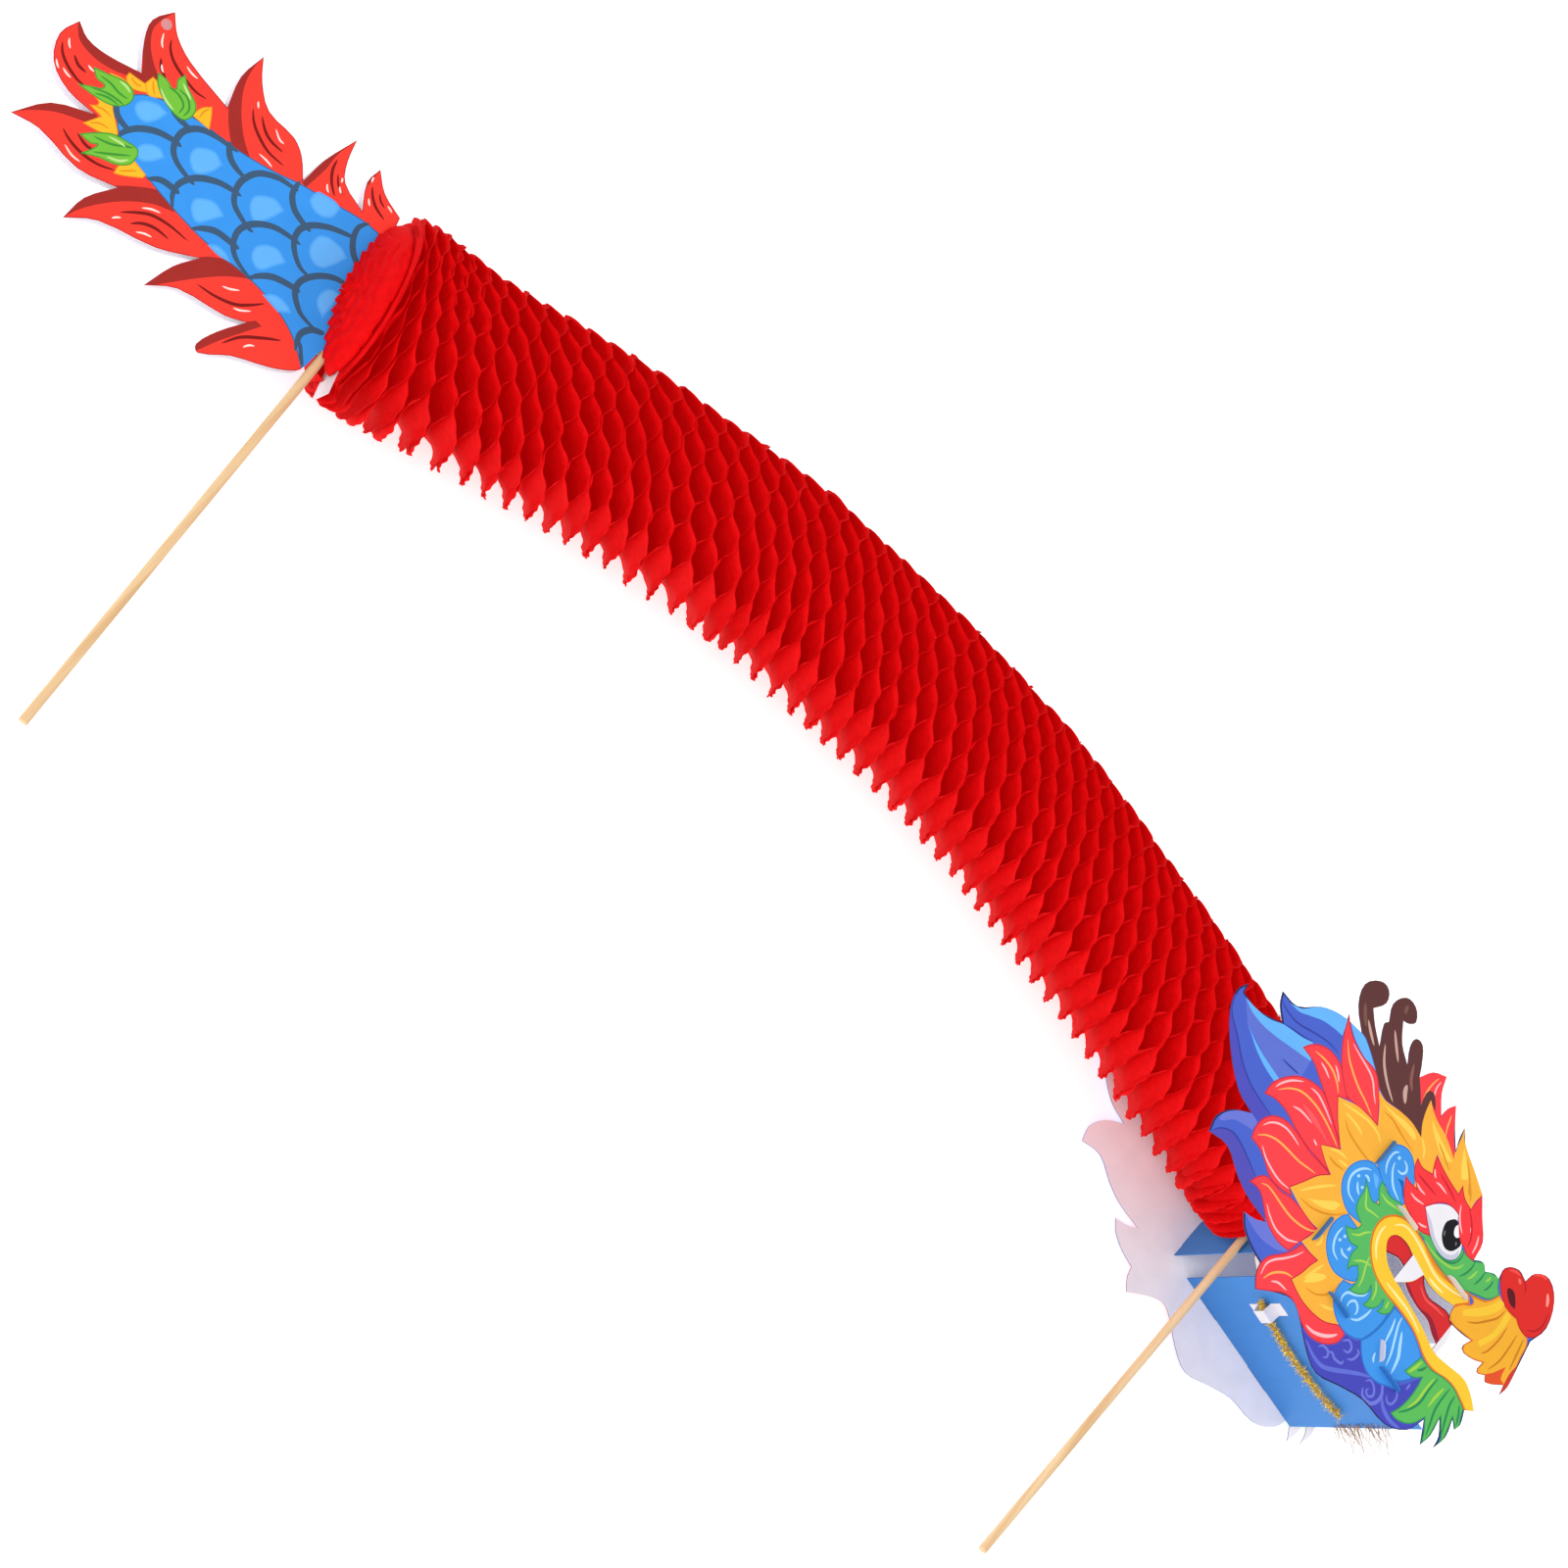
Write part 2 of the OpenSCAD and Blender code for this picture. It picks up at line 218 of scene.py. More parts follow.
def brush(points, width, steps=5):
    """A brush line through points, as an outline.

    Its middle runs on Hermite cubics whose slopes are half the step from the point before to the
    point after, and its half width is width / 2 times sin(pi share) to the power 0.45.
    """
    spots = np.array(points, float)
    slopes = np.gradient(spots, axis=0)
    curve = hermite(spots[:-1], slopes[:-1], spots[1:], slopes[1:], steps).reshape(-1, 2)
    middle = np.vstack([curve, spots[-1:]])
    along = np.gradient(middle, axis=0)
    along /= np.linalg.norm(along, axis=1)[:, None] + 1e-9
    share = np.linspace(0, 1, len(middle))[:, None]
    half = width / 2 * np.sin(math.pi * share) ** 0.45
    aside = np.stack([-along[:, 1], along[:, 0]], -1) * half
    return np.vstack([middle[:1], (middle + aside)[1:-1], middle[-1:], (middle - aside)[1:-1][::-1]])


class Print:
    """The colours of one printed card, painted in the order that they are added."""

    def __init__(self):
        self.loops, self.colours = [], []

    def fill(self, colour, points, edge=None, rim=0.7):
        """A filled outline; edge is the colour of a narrow line, rim wide, inside its border."""
        loop = smooth_loop(points)
        if edge:
            self.loops.append(loop)
            self.colours.append(edge)
            loop = inset(loop, rim)
        self.loops.append(loop)
        self.colours.append(colour)

    def line(self, colour, width, *lines):
        """Brush lines of one colour and width."""
        for points in lines:
            self.loops.append(brush(points, width))
            self.colours.append(colour)


def free_edges(faces, count):
    """The start and end points of the edges that only one of the triangles has."""
    starts, ends = faces.ravel(), np.roll(faces, -1, 1).ravel()
    free = ~np.isin(starts * count + ends, ends * count + starts)
    return starts[free], ends[free]


def face_loops(node):
    """The borders of a flat CAD card's upper face, in millimetres: its outline, then its holes."""
    mesh = frame["nodes"][node].data
    mesh.calc_loop_triangles()
    points = np.zeros(len(mesh.vertices) * 3)
    mesh.vertices.foreach_get("co", points)
    points, merged = np.unique(np.round(points.reshape(-1, 3) / MM, 3), axis=0, return_inverse=True)
    corners = np.zeros(len(mesh.loop_triangles) * 3, int)
    mesh.loop_triangles.foreach_get("vertices", corners)
    corners = merged.ravel()[corners].reshape(-1, 3)
    upper = points[corners, 2].min(1) > points[:, 2].max() - 0.1
    starts, ends = free_edges(corners[upper], len(points))
    following = dict(zip(starts.tolist(), ends.tolist()))
    loops = []
    while following:
        start = next(iter(following))
        loop, here = [start], following.pop(start)
        while here != start:
            loop.append(here)
            here = following.pop(here)
        loops.append(points[loop, :2])
    return sorted(loops, key=lambda p: -np.ptp(p[:, 0]))


def winding(ring, places):
    """Which places a border goes round, in its own main direction.

    An edge counts, 1 upwards and -1 downwards, if it passes a place's height on the place's right.
    """
    (x0, y0), (x1, y1) = ring.T[..., None], np.roll(ring, -1, 0).T[..., None]
    rise = y1 - y0
    passes = (y0 <= places[:, 1]) != (y1 <= places[:, 1])
    at = x0 + (places[:, 1] - y0) / np.where(rise == 0, 1, rise) * (x1 - x0)
    count = np.sum(np.sign(rise) * (passes & (at > places[:, 0])), 0)
    return count * np.sum(x0 * y1 - x1 * y0) > 0


def printed_card(name, node, printed, ground, trim, trim_width, zero, lean, outwards, cut_edge):
    """A card with its print on the side that faces outwards, 1 for up and -1 for down.

    The face is triangulated along all borders, and a triangle has the colour of the last border
    that goes round its middle. Triangles outside the card's outline or in its holes are dropped.
    """
    loops = face_loops(node)
    cos, sin = math.cos(lean), math.sin(lean)
    turned = [p @ np.array([[cos, sin], [-sin, cos]]) + zero for p in printed.loops]
    rings = loops + [inset(loops[0], trim_width)] + turned
    firsts = np.cumsum([0] + [len(r) for r in rings])
    edges = [np.stack([np.arange(len(r)), np.roll(np.arange(len(r)), -1)], -1) + first
             for r, first in zip(rings, firsts)]
    cut = delaunay_2d_cdt([Vector(p) for p in np.vstack(rings)], np.vstack(edges).tolist(), [], 0, 1e-5)
    flat, faces = np.array([tuple(p) for p in cut[0]]), np.array([f for f in cut[2] if len(f) == 3])
    middles = flat[faces].mean(1)
    top = np.full(len(faces), -1)
    for number, ring in enumerate(rings):
        near = np.nonzero(((middles > ring.min(0)) & (middles < ring.max(0))).all(1))[0]
        inside = near[winding(ring, middles[near])]
        if number == 0:
            top[inside] = 0
        elif number < len(loops):
            top[inside] = -1
        else:
            top[inside] = np.where(top[inside] < 0, -1, number)
    used, faces = np.unique(faces[top >= 0], return_inverse=True)
    flat, faces, top = flat[used], faces.reshape(-1, 3), top[top >= 0]
    inks = np.array([trim] * len(loops) + [ground] + printed.colours)[top]
    low, high = (corner.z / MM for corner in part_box(node))
    face_z, back_z = (high, low) if outwards > 0 else (low, high)
    count = len(flat)
    points = np.vstack([np.column_stack([flat, np.full(count, z)]) for z in (face_z, back_z)])
    front = faces if outwards > 0 else faces[:, ::-1]
    back = front[:, ::-1] + count
    a, b = free_edges(front, count)
    sides = np.stack([b, a, a + count, b + count], -1)
    made = piece(name, points, front.tolist() + back.tolist() + sides.tolist(), printed_board)
    corners = np.vstack([np.repeat(inks, 3, 0), [card_white] * back.size, [cut_edge] * sides.size])
    layer = made.data.color_attributes.new("ink", "FLOAT_COLOR", "CORNER")
    layer.data.foreach_set("color", np.column_stack([corners, np.ones(len(corners))]).ravel())
    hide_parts(node)
    return made


printed_board, place, shader = finish_of("printed_board", 0.5, Specular_IOR_Level=0.1)
layer = place.node("ShaderNodeAttribute", {"attribute_name": "ink"})
wear = noise(place, 90, 4).between(0.25, 0.75)
drive(shader,
      Base_Color=layer.node("ShaderNodeMix", {"data_type": "RGBA", "blend_type": "MULTIPLY"},
                            {"Factor": 1.0, 6: layer, 7: wear.mix((0.93, 0.93, 0.93), (1, 1, 1))}, out=2),
      Roughness=wear * 0.12 + 0.45,
      Normal=bump(noise(place, 700, 3), 0.00006, 0.6))

# The print of the head: blue mane at the back, red flames round a yellow face, brown antlers, blue
# clouds with a green beard under the cheek, and the eye, the nose and the open mouth in front.
art = Print()
mane_light, mane_line = ink(104, 182, 255), ink(55, 68, 165)
art.fill(mane_light, [
    (-101, 77, 1), (-94, 81), (-89, 88), (-83, 95), (-76, 99), (-69, 101, 1), (-65.5, 92, 1), (-72, 90.5),
    (-80, 87.5), (-87, 83), (-94, 78.5)])
art.fill(mane_light, [
    (-67, 101.5, 1), (-57, 103.5), (-50, 102), (-37, 96.5, 1), (-45, 95.5), (-58, 97.5)])
art.fill(ink(96, 116, 212), [
    (-123, 56, 1), (-105, 56), (-85, 62), (-70, 66, 1), (-66, 40, 1), (-79, 39.5, 1), (-92, 43.5),
    (-112, 47, 1)])
art.fill(ink(80, 80, 190), [
    (-129, 53, 1), (-124, 44), (-112, 37.5), (-100, 30.5), (-88, 26.5), (-76, 25.5), (-66, 25.5, 1),
    (-66, 14, 1), (-90, 17), (-112, 28), (-130, 45)])
art.fill(mane_light, [
    (-123, 56, 1), (-113, 57.5), (-104, 60.5), (-97, 65), (-90, 68.5), (-83, 71), (-76, 74, 1),
    (-70, 66, 1), (-75, 64), (-85, 60.5), (-95, 57), (-105, 54.5), (-115, 54)])
art.fill(mane_light, [
    (-112, 47, 1), (-103, 45), (-92, 43.5), (-77, 43, 1), (-79, 39.5, 1), (-88, 40), (-98, 42),
    (-106, 45)])
art.fill(ink(108, 120, 215), [
    (-76, 16.5, 1), (-84, 10), (-89, 2), (-88, -2), (-82, 5), (-74, 9), (-70, 10.5, 1), (-70.5, 16, 1)])
art.fill(ink(84, 80, 185), [
    (-88.5, -11, 1), (-84, -4), (-77, 0), (-68, -0.5), (-58, -3), (-50, -5, 1), (-30, -14, 1),
    (-30, -20, 1), (-60, -20), (-80, -12)])
art.fill(ink(108, 120, 215), [
    (-43, -23.5, 1), (-30, -15, 1), (-9, -12, 1), (-9, -17, 1), (-14, -21), (-22, -24), (-30, -25)])
art.line(mane_line, 1.2,
         [(-107, 74), (-99, 72.5), (-90, 73.5), (-80, 78), (-70, 82), (-60, 83.5)],
         [(-97, 65.5), (-90, 68.5), (-83, 71), (-76, 74.5)],
         [(-129, 53), (-124, 44), (-112, 37.5), (-100, 30.5), (-88, 26.5), (-76, 25.5), (-66, 25.5)],
         [(-84, 52), (-76, 53.5), (-70, 55)],
         [(-88, -10.5), (-84, -4), (-77, 0), (-68, -0.5), (-58, -3), (-50, -5)])

antler = ink(96, 54, 54)
flame, flame_edge = ink(255, 66, 74), ink(205, 40, 60)
pink, amber = ink(255, 190, 195), ink(255, 175, 90)
art.fill(flame, [
    (-14, 117.5, 1), (-12.5, 123), (-9.5, 127.5), (-5.5, 131), (-1, 132.5, 1), (1.5, 126.5), (5, 120.5),
    (10.5, 114.8, 1), (12, 108, 1), (0, 106, 1), (-8, 112)])
art.fill(flame, [
    (11, 114.5, 1), (11, 120), (14, 126.5, 1), (19, 120.5), (25, 113.5), (32, 107.5), (34, 104.5, 1),
    (24, 104, 1), (10, 106, 1)])
art.line(amber, 1.1,
         [(-4.5, 128), (-5.3, 122), (-5, 116), (-3, 110), (-1.5, 107.5)],
         [(15.5, 120.5), (17, 117), (18.5, 113), (21, 109)])
art.line(pink, 1.0, [(-2, 128), (-2, 123), (0, 118.5), (3.5, 115), (6, 113.5)])
art.fill(antler, [
    (-64, 103, 1), (-72, 106), (-80, 115), (-80, 150, 1), (-14, 150, 1), (-14, 117.5, 1), (-8, 112.5),
    (-2.5, 107.5, 1), (-4.2, 112), (-4.5, 117), (-1.5, 119.2), (2, 117.5), (6.5, 113, 1), (3, 113.8),
    (0, 115, 1), (2, 108), (5, 101.5), (9.8, 95.5, 1), (0, 96.2), (-10, 94.2), (-21, 90.5, 1), (-28, 92),
    (-37, 96.8, 1), (-45, 100.5), (-54, 103.8, 1)])
art.line(ink(205, 165, 155), 1.8,
         [(-60, 112), (-54, 108.5), (-47, 105)], [(-44, 122.5), (-37, 117), (-29.5, 111.5)],
         [(-43, 112), (-36, 104), (-27, 98), (-16.5, 93.5)])
art.line(ink(205, 165, 155), 3.0, [(-17, 108), (-15, 104), (-10.5, 99.5)])
art.line(ink(140, 90, 85), 2.2, [(-22, 120), (-17, 112), (-12, 108)])
art.line(ink(120, 85, 75), 2.4,
         [(-47, 139), (-46.5, 136.5), (-45, 134)], [(-68, 117), (-63, 112), (-58, 108)])

# the jaw lies under flame, clouds and cheek
jaw_swirl = ink(112, 122, 220)
art.fill(ink(70, 72, 186), [
    (20, -33.5, 1), (26, -36.5), (34, -36.8), (40, -34.2), (45.5, -29.7), (49, -24), (49.2, -17.5, 1),
    (56, -15), (59, -11.5, 1), (65, -17.5), (72, -21), (80, -20.5), (87, -17), (92, -12), (97, -4),
    (101.5, 5, 1), (103, -6), (102, -17), (99.5, -24, 1), (107, -23), (114, -17.5), (118, -8.5, 1),
    (122, -12), (119, -26), (104, -38), (82, -42), (60, -52), (50, -54), (30, -48)])
art.line(ink(98, 112, 215), 2.5,
         [(32, -39), (42, -41.5), (50, -41), (57, -36.5), (64, -30.5), (72, -24), (77, -21)],
         [(89, -22), (95, -26), (103, -27), (110, -25)])
art.line(jaw_swirl, 1.5,
         [(50, -22), (53, -18), (57, -19.5), (57, -23), (53.5, -24.5)],
         [(59, -26), (62, -23), (62.5, -18), (60, -17)],
         [(47, -33), (50, -31), (53, -32), (58, -30.5), (58, -28)],
         [(41, -36), (43, -33), (47, -32.5), (49, -35), (47, -37.5)],
         [(76, -25), (78, -22), (82, -22.5), (85, -26), (83, -29), (80, -28), (80.5, -25.5)],
         [(90, -14), (93, -12), (97, -15), (97, -20), (94, -21.5), (91, -19)],
         [(98.5, -3), (98.6, -5), (98.7, -7.5)])
art.line(jaw_swirl, 2.2,
         [(77, -28), (80, -31.5), (86, -31), (89, -27), (89, -22), (86, -18), (85, -16.5)])
art.line(ink(20, 25, 70), 1.2,
         [(20, -33.5), (36, -42.5), (50, -46.5), (66, -39.5), (82, -33), (101, -31), (114, -22),
          (118.5, -9)])

shade = ink(255, 92, 96)
art.fill(flame, [
    (-79, 67, 1), (-76, 73), (-70, 78.5), (-62, 81), (-54, 80), (-44, 74), (-38, 71, 1), (-44, 67, 1),
    (-36, 59), (-28, 52.5), (-23, 49, 1), (-34, 53.5), (-44, 58), (-53, 61.5, 1), (-60, 64),
    (-68, 66.8)], flame_edge)
art.fill(flame, [
    (-70.5, 104, 1), (-66, 100.5), (-58, 97), (-48, 95.5), (-37, 96.5), (-28, 91.5), (-20, 83),
    (-14.5, 76.5, 1), (-24, 75.5), (-33, 73), (-40, 71.5), (-48, 75.5), (-56, 81.5), (-63, 89.5),
    (-67.5, 97)], flame_edge)
art.fill(flame, [
    (-78.5, 30, 1), (-79, 38), (-76, 46), (-70, 54), (-62, 59), (-53, 61.2), (-44, 58.5), (-34, 54),
    (-22.5, 48.5, 1), (-28, 44.5), (-33, 40, 1), (-26, 36.5), (-18, 34, 1), (-28, 33), (-40, 32),
    (-53, 33, 1), (-62, 34.5), (-71, 33.5)], flame_edge)
art.fill(shade, [(-58, 46, 1), (-48, 47.5), (-38, 46), (-29, 44, 1), (-38, 44.5), (-48, 44.5)])
art.fill(flame, [
    (-67.5, 7, 1), (-70, 14), (-69, 22), (-64, 28.5), (-56, 32), (-46, 32.5), (-36, 32), (-27, 33.2),
    (-17.5, 34, 1), (-23, 27), (-27, 18), (-31.5, 8.5, 1), (-27, 6, 1), (-35, 3), (-42, 1.7),
    (-47, 2.5, 1), (-53, 5.2), (-60, 7.2)], flame_edge)
art.fill(flame, [
    (-52, -10, 1), (-50.5, -4.5), (-47, 0.5), (-41, 2), (-34, 2.8), (-27, 5.5), (-18, 6.5), (-9, 6.3),
    (-3, 7.2, 1), (-4, 1.5), (-6, -5.5, 1), (-7, -10), (-8, -15.5, 1), (-15, -17.5), (-22, -17.5),
    (-30, -15.5), (-37, -11.5), (-42, -8.7), (-47, -8.3)], flame_edge)
art.fill(flame, [
    (-9, -46, 1), (-14.5, -40), (-16.5, -34), (-15.5, -27.5), (-11.5, -21.5), (-7.8, -15.5), (-6, -10),
    (-5, -6, 1), (2, -5.3), (9, -4, 1), (7.3, -10), (6.2, -17), (4, -24.3, 1), (11, -26), (19, -26.7),
    (28, -25.5), (35, -23), (42, -17.7, 1), (45.5, -17.3), (49, -18, 1), (48.8, -24), (45.5, -29.5),
    (40, -34), (33, -36.5), (26, -36), (19, -34), (11.5, -31.7), (5, -34), (-2, -40)], flame_edge)

# the face lies over the flames' inner ends
art.fill(ink(252, 180, 60), [
    (27, 122.5, 1), (31, 118), (36, 116), (42, 114.5), (50, 111), (61, 106.3, 1), (60.4, 100),
    (61, 94.8, 1), (54, 95.8), (48, 99.7, 1), (49, 94, 1), (40, 94.5), (32, 95.6), (24, 97.5, 1),
    (26, 92.5), (29, 87.7, 1), (40, 80, 1), (45, 60, 1), (50, 0, 1), (45, -8, 1), (42, -17.7, 1),
    (35, -23), (28, -25.5), (19, -26.7), (11, -26), (4, -24.3, 1), (6.2, -17), (7.3, -10), (9, -4, 1),
    (2, -5.2), (-6, -5.5, 1), (-4, 1), (-3.5, 7.4, 1), (-9, 6.4), (-20, 6.7), (-31.5, 8.5, 1), (-27, 18),
    (-23, 27), (-17.5, 34, 1), (-26, 36.5), (-33.5, 40, 1), (-28, 44.5), (-22.5, 48.5, 1), (-28, 52.5),
    (-36, 59), (-44, 67, 1), (-32, 73.5), (-22, 75.8), (-14.5, 76.5, 1), (-21, 84.5), (-28, 91, 1),
    (-21, 90.5), (-10, 94.2), (0, 96.2), (9.8, 95.5, 1), (5, 101.5), (2, 108), (0, 115, 1), (5, 112.3),
    (12, 110.3), (20, 109.5), (28, 107), (34, 104.5, 1), (32, 107), (29, 117)])
gold, deep_gold = ink(255, 212, 86), ink(226, 146, 36)
art.fill(gold, [(8, 108, 1), (15, 106.5), (24, 104.5), (34, 103, 1), (30, 99.5), (22, 100.5), (14, 104)])
art.fill(gold, [(34, 115, 1), (42, 110), (48, 105), (45, 101, 1), (40, 106)])
art.fill(gold, [(-22, 88, 1), (-12, 90.5), (-2, 93.5), (8, 92), (0, 90, 1), (-10, 89)])
art.fill(gold, [(-2, 28, 1), (-6, 26), (-12, 20), (-19, 13.5, 1), (-10, 17), (-3, 22.5)])
art.fill(gold, [(17, -6, 1), (19, -6.5), (16, -13), (10, -20, 1), (11, -12)])
art.line(gold, 1.6,
         [(-40, 67), (-32, 70), (-22, 73.5), (-12, 74), (-7, 71.5)], [(-35, 65), (-25, 66), (-18, 65)],
         [(-28, 43.5), (-22, 47), (-16, 48.3)], [(-20, 43.5), (-16, 44.8), (-13, 45.5)],
         [(-11, 33), (-16, 27), (-21, 20), (-26, 12)], [(1, 8), (3, 4), (2, 0)],
         [(13, -2.5), (11, -10), (9, -18)], [(35, -14), (31, -17), (26, -19.5)],
         [(10, 96), (16, 92.5), (19, 88)])
art.line(deep_gold, 1.3,
         [(20, 103), (28, 100.5), (37, 97.5)], [(40, 112), (47, 107), (55, 100.5), (58, 97)],
         [(50, 104), (53, 101), (55, 99)], [(-18, 85.5), (-10, 87), (0, 86), (12, 85.5)],
         [(-33, 62.5), (-26, 59.5), (-16, 58.5), (-6, 59), (-3, 61)],
         [(-26, 40), (-20, 40.3), (-13, 42.5)], [(4, 28), (0, 22), (-6, 16.5), (-14, 12), (-24, 9.5)],
         [(27, -1), (27.5, -7), (25, -13), (20, -18), (13, -20.5)])
art.line(amber, 1.3,
         [(-62, 94), (-55, 88), (-47, 84), (-38, 81), (-30, 79.5), (-21, 77)],
         [(-72, 72), (-65, 73.8), (-57, 74), (-50, 71.5), (-45, 68)],
         [(-74, 38), (-69, 45), (-62, 50), (-52, 52), (-42, 51.5), (-32, 49.5), (-25, 47.5)],
         [(-66, 11), (-62, 15.5), (-56, 19), (-48, 21), (-38, 22.5), (-30, 25), (-25, 26.5)],
         [(-46, -4.5), (-42, -2.2), (-36, -1.9), (-28, -2.2), (-20, -2), (-12, 0), (-6, 3), (-3, 6)],
         [(4, -23), (-1, -25), (-5, -28.5), (-8, -33), (-9.5, -38.5)])
art.line(pink, 1.2,
         [(-58, 95), (-50, 94), (-40, 93), (-34, 91), (-29, 87), (-24, 83.5)],
         [(-57.5, 77.5), (-53, 75.5), (-49, 72.5)], [(-65, 71), (-60, 70.5), (-55, 69)],
         [(-76, 38), (-74.5, 43), (-71, 49), (-65, 55)], [(-60, 56), (-54, 57.3), (-46, 56), (-36, 53)],
         [(-61, 40), (-55, 42.5), (-45.5, 43.5)], [(-39, 38.3), (-37, 38), (-35, 37.5)],
         [(-67, 17.5), (-65, 22), (-61, 26), (-55, 28.5), (-48, 28.8), (-43, 28.3)],
         [(-60, 10), (-53, 7), (-45, 5.7), (-38, 5.7), (-31, 7.5)],
         [(-36, -9), (-30, -12), (-22, -14), (-14, -12.5), (-10, -10), (-7, -7.5)],
         [(-1, -8), (-3.5, -14), (-7.5, -20.5), (-11.5, -26), (-13.5, -31.5), (-12, -38.5)],
         [(-5, -35.5), (-1, -32.3), (6, -31)])
art.line(pink, 2.0, [(27, -34), (33, -33), (39, -29.5), (43, -25.5), (45.5, -21.5)])

# clouds and cheek
cloud, cloud_edge, cloud_line = ink(64, 152, 236), ink(45, 120, 205), ink(170, 220, 255)
art.fill(cloud, [
    (-1, 77, 1), (1, 80), (5, 83), (9, 84.2), (14, 83.3), (19, 80), (24, 75, 1), (30, 66, 1), (26, 58, 1),
    (18, 56.5), (12, 58), (8, 57.5, 1), (2, 61, 1), (-1, 62, 1)], cloud_edge)
art.fill(ink(25, 95, 180), [
    (14.5, 67.5, 1), (19, 66.5), (23, 63.5), (26, 62, 1), (22, 66), (18.5, 69.5, 1)])
art.fill(cloud, [
    (2, 61.2, 1), (-3, 60.8), (-8, 57), (-11.5, 51), (-12.5, 45), (-11, 38.5), (-6.5, 33), (0, 29.5),
    (5, 28.5, 1), (14, 31, 1), (14, 57, 1)], cloud_edge)
art.fill(ink(100, 180, 255), [(1, 57, 1), (5, 57.5), (7.5, 55), (8.5, 52, 1), (5, 54)])
art.fill(cloud, [
    (5, 28.5, 1), (2.5, 24), (1.5, 17), (3, 10.5), (7, 5), (13, 1), (20, -0.5), (27, 1.5), (31, 4),
    (34, 6.5, 1), (34, 20, 1), (20, 28, 1)], cloud_edge)
art.fill(cloud, [
    (27.5, 1.5, 1), (27.5, -3), (29, -9), (33, -13.5), (40, -17), (48, -17.3), (55, -14.5), (59, -11, 1),
    (62, 0), (62, 8), (60, 18, 1), (40, 18, 1), (33, 4, 1)], cloud_edge)
art.fill(cloud, [
    (62, 17.5, 1), (70, 18.5), (80, 17.8), (88, 15.5), (94, 12.5, 1), (93, 5), (97, -1, 1), (93, -7),
    (90, -10, 1), (94, -12), (88, -16), (82, -19.5), (75, -21), (68, -19.5), (62, -15.5), (58.5, -12, 1),
    (61, -5), (62.5, 5)], cloud_edge)
art.line(cloud_line, 1.5,
         [(5.5, 78.5), (3.3, 75.5), (3, 71), (4.5, 66.5), (7.5, 62.8)],
         [(10.5, 77.8), (14, 77), (16, 74.2), (14.5, 71.3), (11, 70.5)],
         [(7, 72.5), (9, 68), (14, 63), (18, 61), (24, 59.5)],
         [(-0.5, 57), (-4, 54.5), (-7, 50), (-8, 44.5), (-6, 39.5), (-2, 36.3), (4, 35.7)],
         [(-2, 51.5), (0, 52.3), (3, 51.3)], [(-3, 45.5), (0, 42.5), (3, 41)],
         [(7.8, 21), (7.5, 16), (9, 11), (12.5, 7), (18, 5.8)], [(14.5, 12.3), (17.5, 10.8), (22, 11.5)],
         [(18.5, 17.5), (19, 16), (18, 14.3)],
         [(44, 9.5), (43, 6), (39, 2), (34.5, -1), (33.5, -5), (35, -8.5)],
         [(39.5, -7), (39, -3.5), (41, -0.5), (44, -1), (46, -3.5), (46, -6)],
         [(52, 5), (51.5, 0), (49.5, -6), (45.5, -9.5)],
         [(69.5, 18), (70.5, 13), (74, 6), (78, -2), (80, -9)],
         [(66.5, 14), (68.5, 9), (70, 3), (71, -1.5)], [(70, -9), (71, -12), (73, -14)])
art.line(cloud_line, 2.2,
         [(74.5, 12.5), (79, 6), (83, 0), (85.5, -9.5)], [(6.6, 76.6), (7.5, 76), (8.4, 75.4)],
         [(-5.2, 48.6), (-4.5, 48), (-3.8, 47.4)], [(0.8, 46), (1.5, 45.5), (2.2, 45)],
         [(11.3, 18.9), (12, 18.3), (12.7, 17.7)], [(10.3, 15), (11, 14.5), (11.7, 14)])
art.line(ink(40, 115, 200), 1.2, [(62.5, 14), (62, 4), (61, -5), (58.5, -12)])

# green beard, veined
leaf, leaf_edge, vein = ink(88, 186, 96), ink(50, 145, 90), ink(165, 215, 85)
art.fill(leaf, [
    (8, 58.8, 1), (9.5, 54), (12.5, 50.5), (15.5, 48, 1), (11, 46), (6, 48), (-1, 51.2, 1), (3, 46),
    (4, 40), (7, 34), (15, 31, 1), (14.5, 28), (12, 25), (8, 23, 1), (12, 20), (17, 18.7),
    (21.5, 20.5, 1), (21.5, 15), (23.5, 10), (26, 6.5, 1), (26.5, 10.5), (29, 13.7, 1), (33, 10),
    (34.5, 5), (33.5, 0.5, 1), (38, 2), (42.5, 6), (44, 10), (43, 13, 1), (46, 9.5), (46.5, 5.5),
    (45.5, 2, 1), (50, 3.5), (53.8, 8), (54.3, 12), (53.5, 15, 1), (55.5, 11), (54.7, 6.5, 1),
    (59.5, 8.8), (62, 13), (61.5, 18, 1), (45, 25, 1), (40, 45, 1), (34, 58, 1), (25, 60, 1),
    (18, 57)], leaf_edge)
art.line(vein, 1.3,
         [(3.5, 48), (7, 44), (11, 40), (16, 41.5), (21.5, 43)],
         [(23, 34), (20, 30), (18, 26), (14, 22.5)], [(31, 24), (33, 18), (36, 12), (37.5, 6)],
         [(36, 21), (30, 18.5), (25, 13.5)], [(43, 18), (47, 14), (49, 8)],
         [(57, 17), (57.7, 14.5), (58, 12)], [(12, 53.5), (18, 53.2), (25, 55.5), (30, 57)])

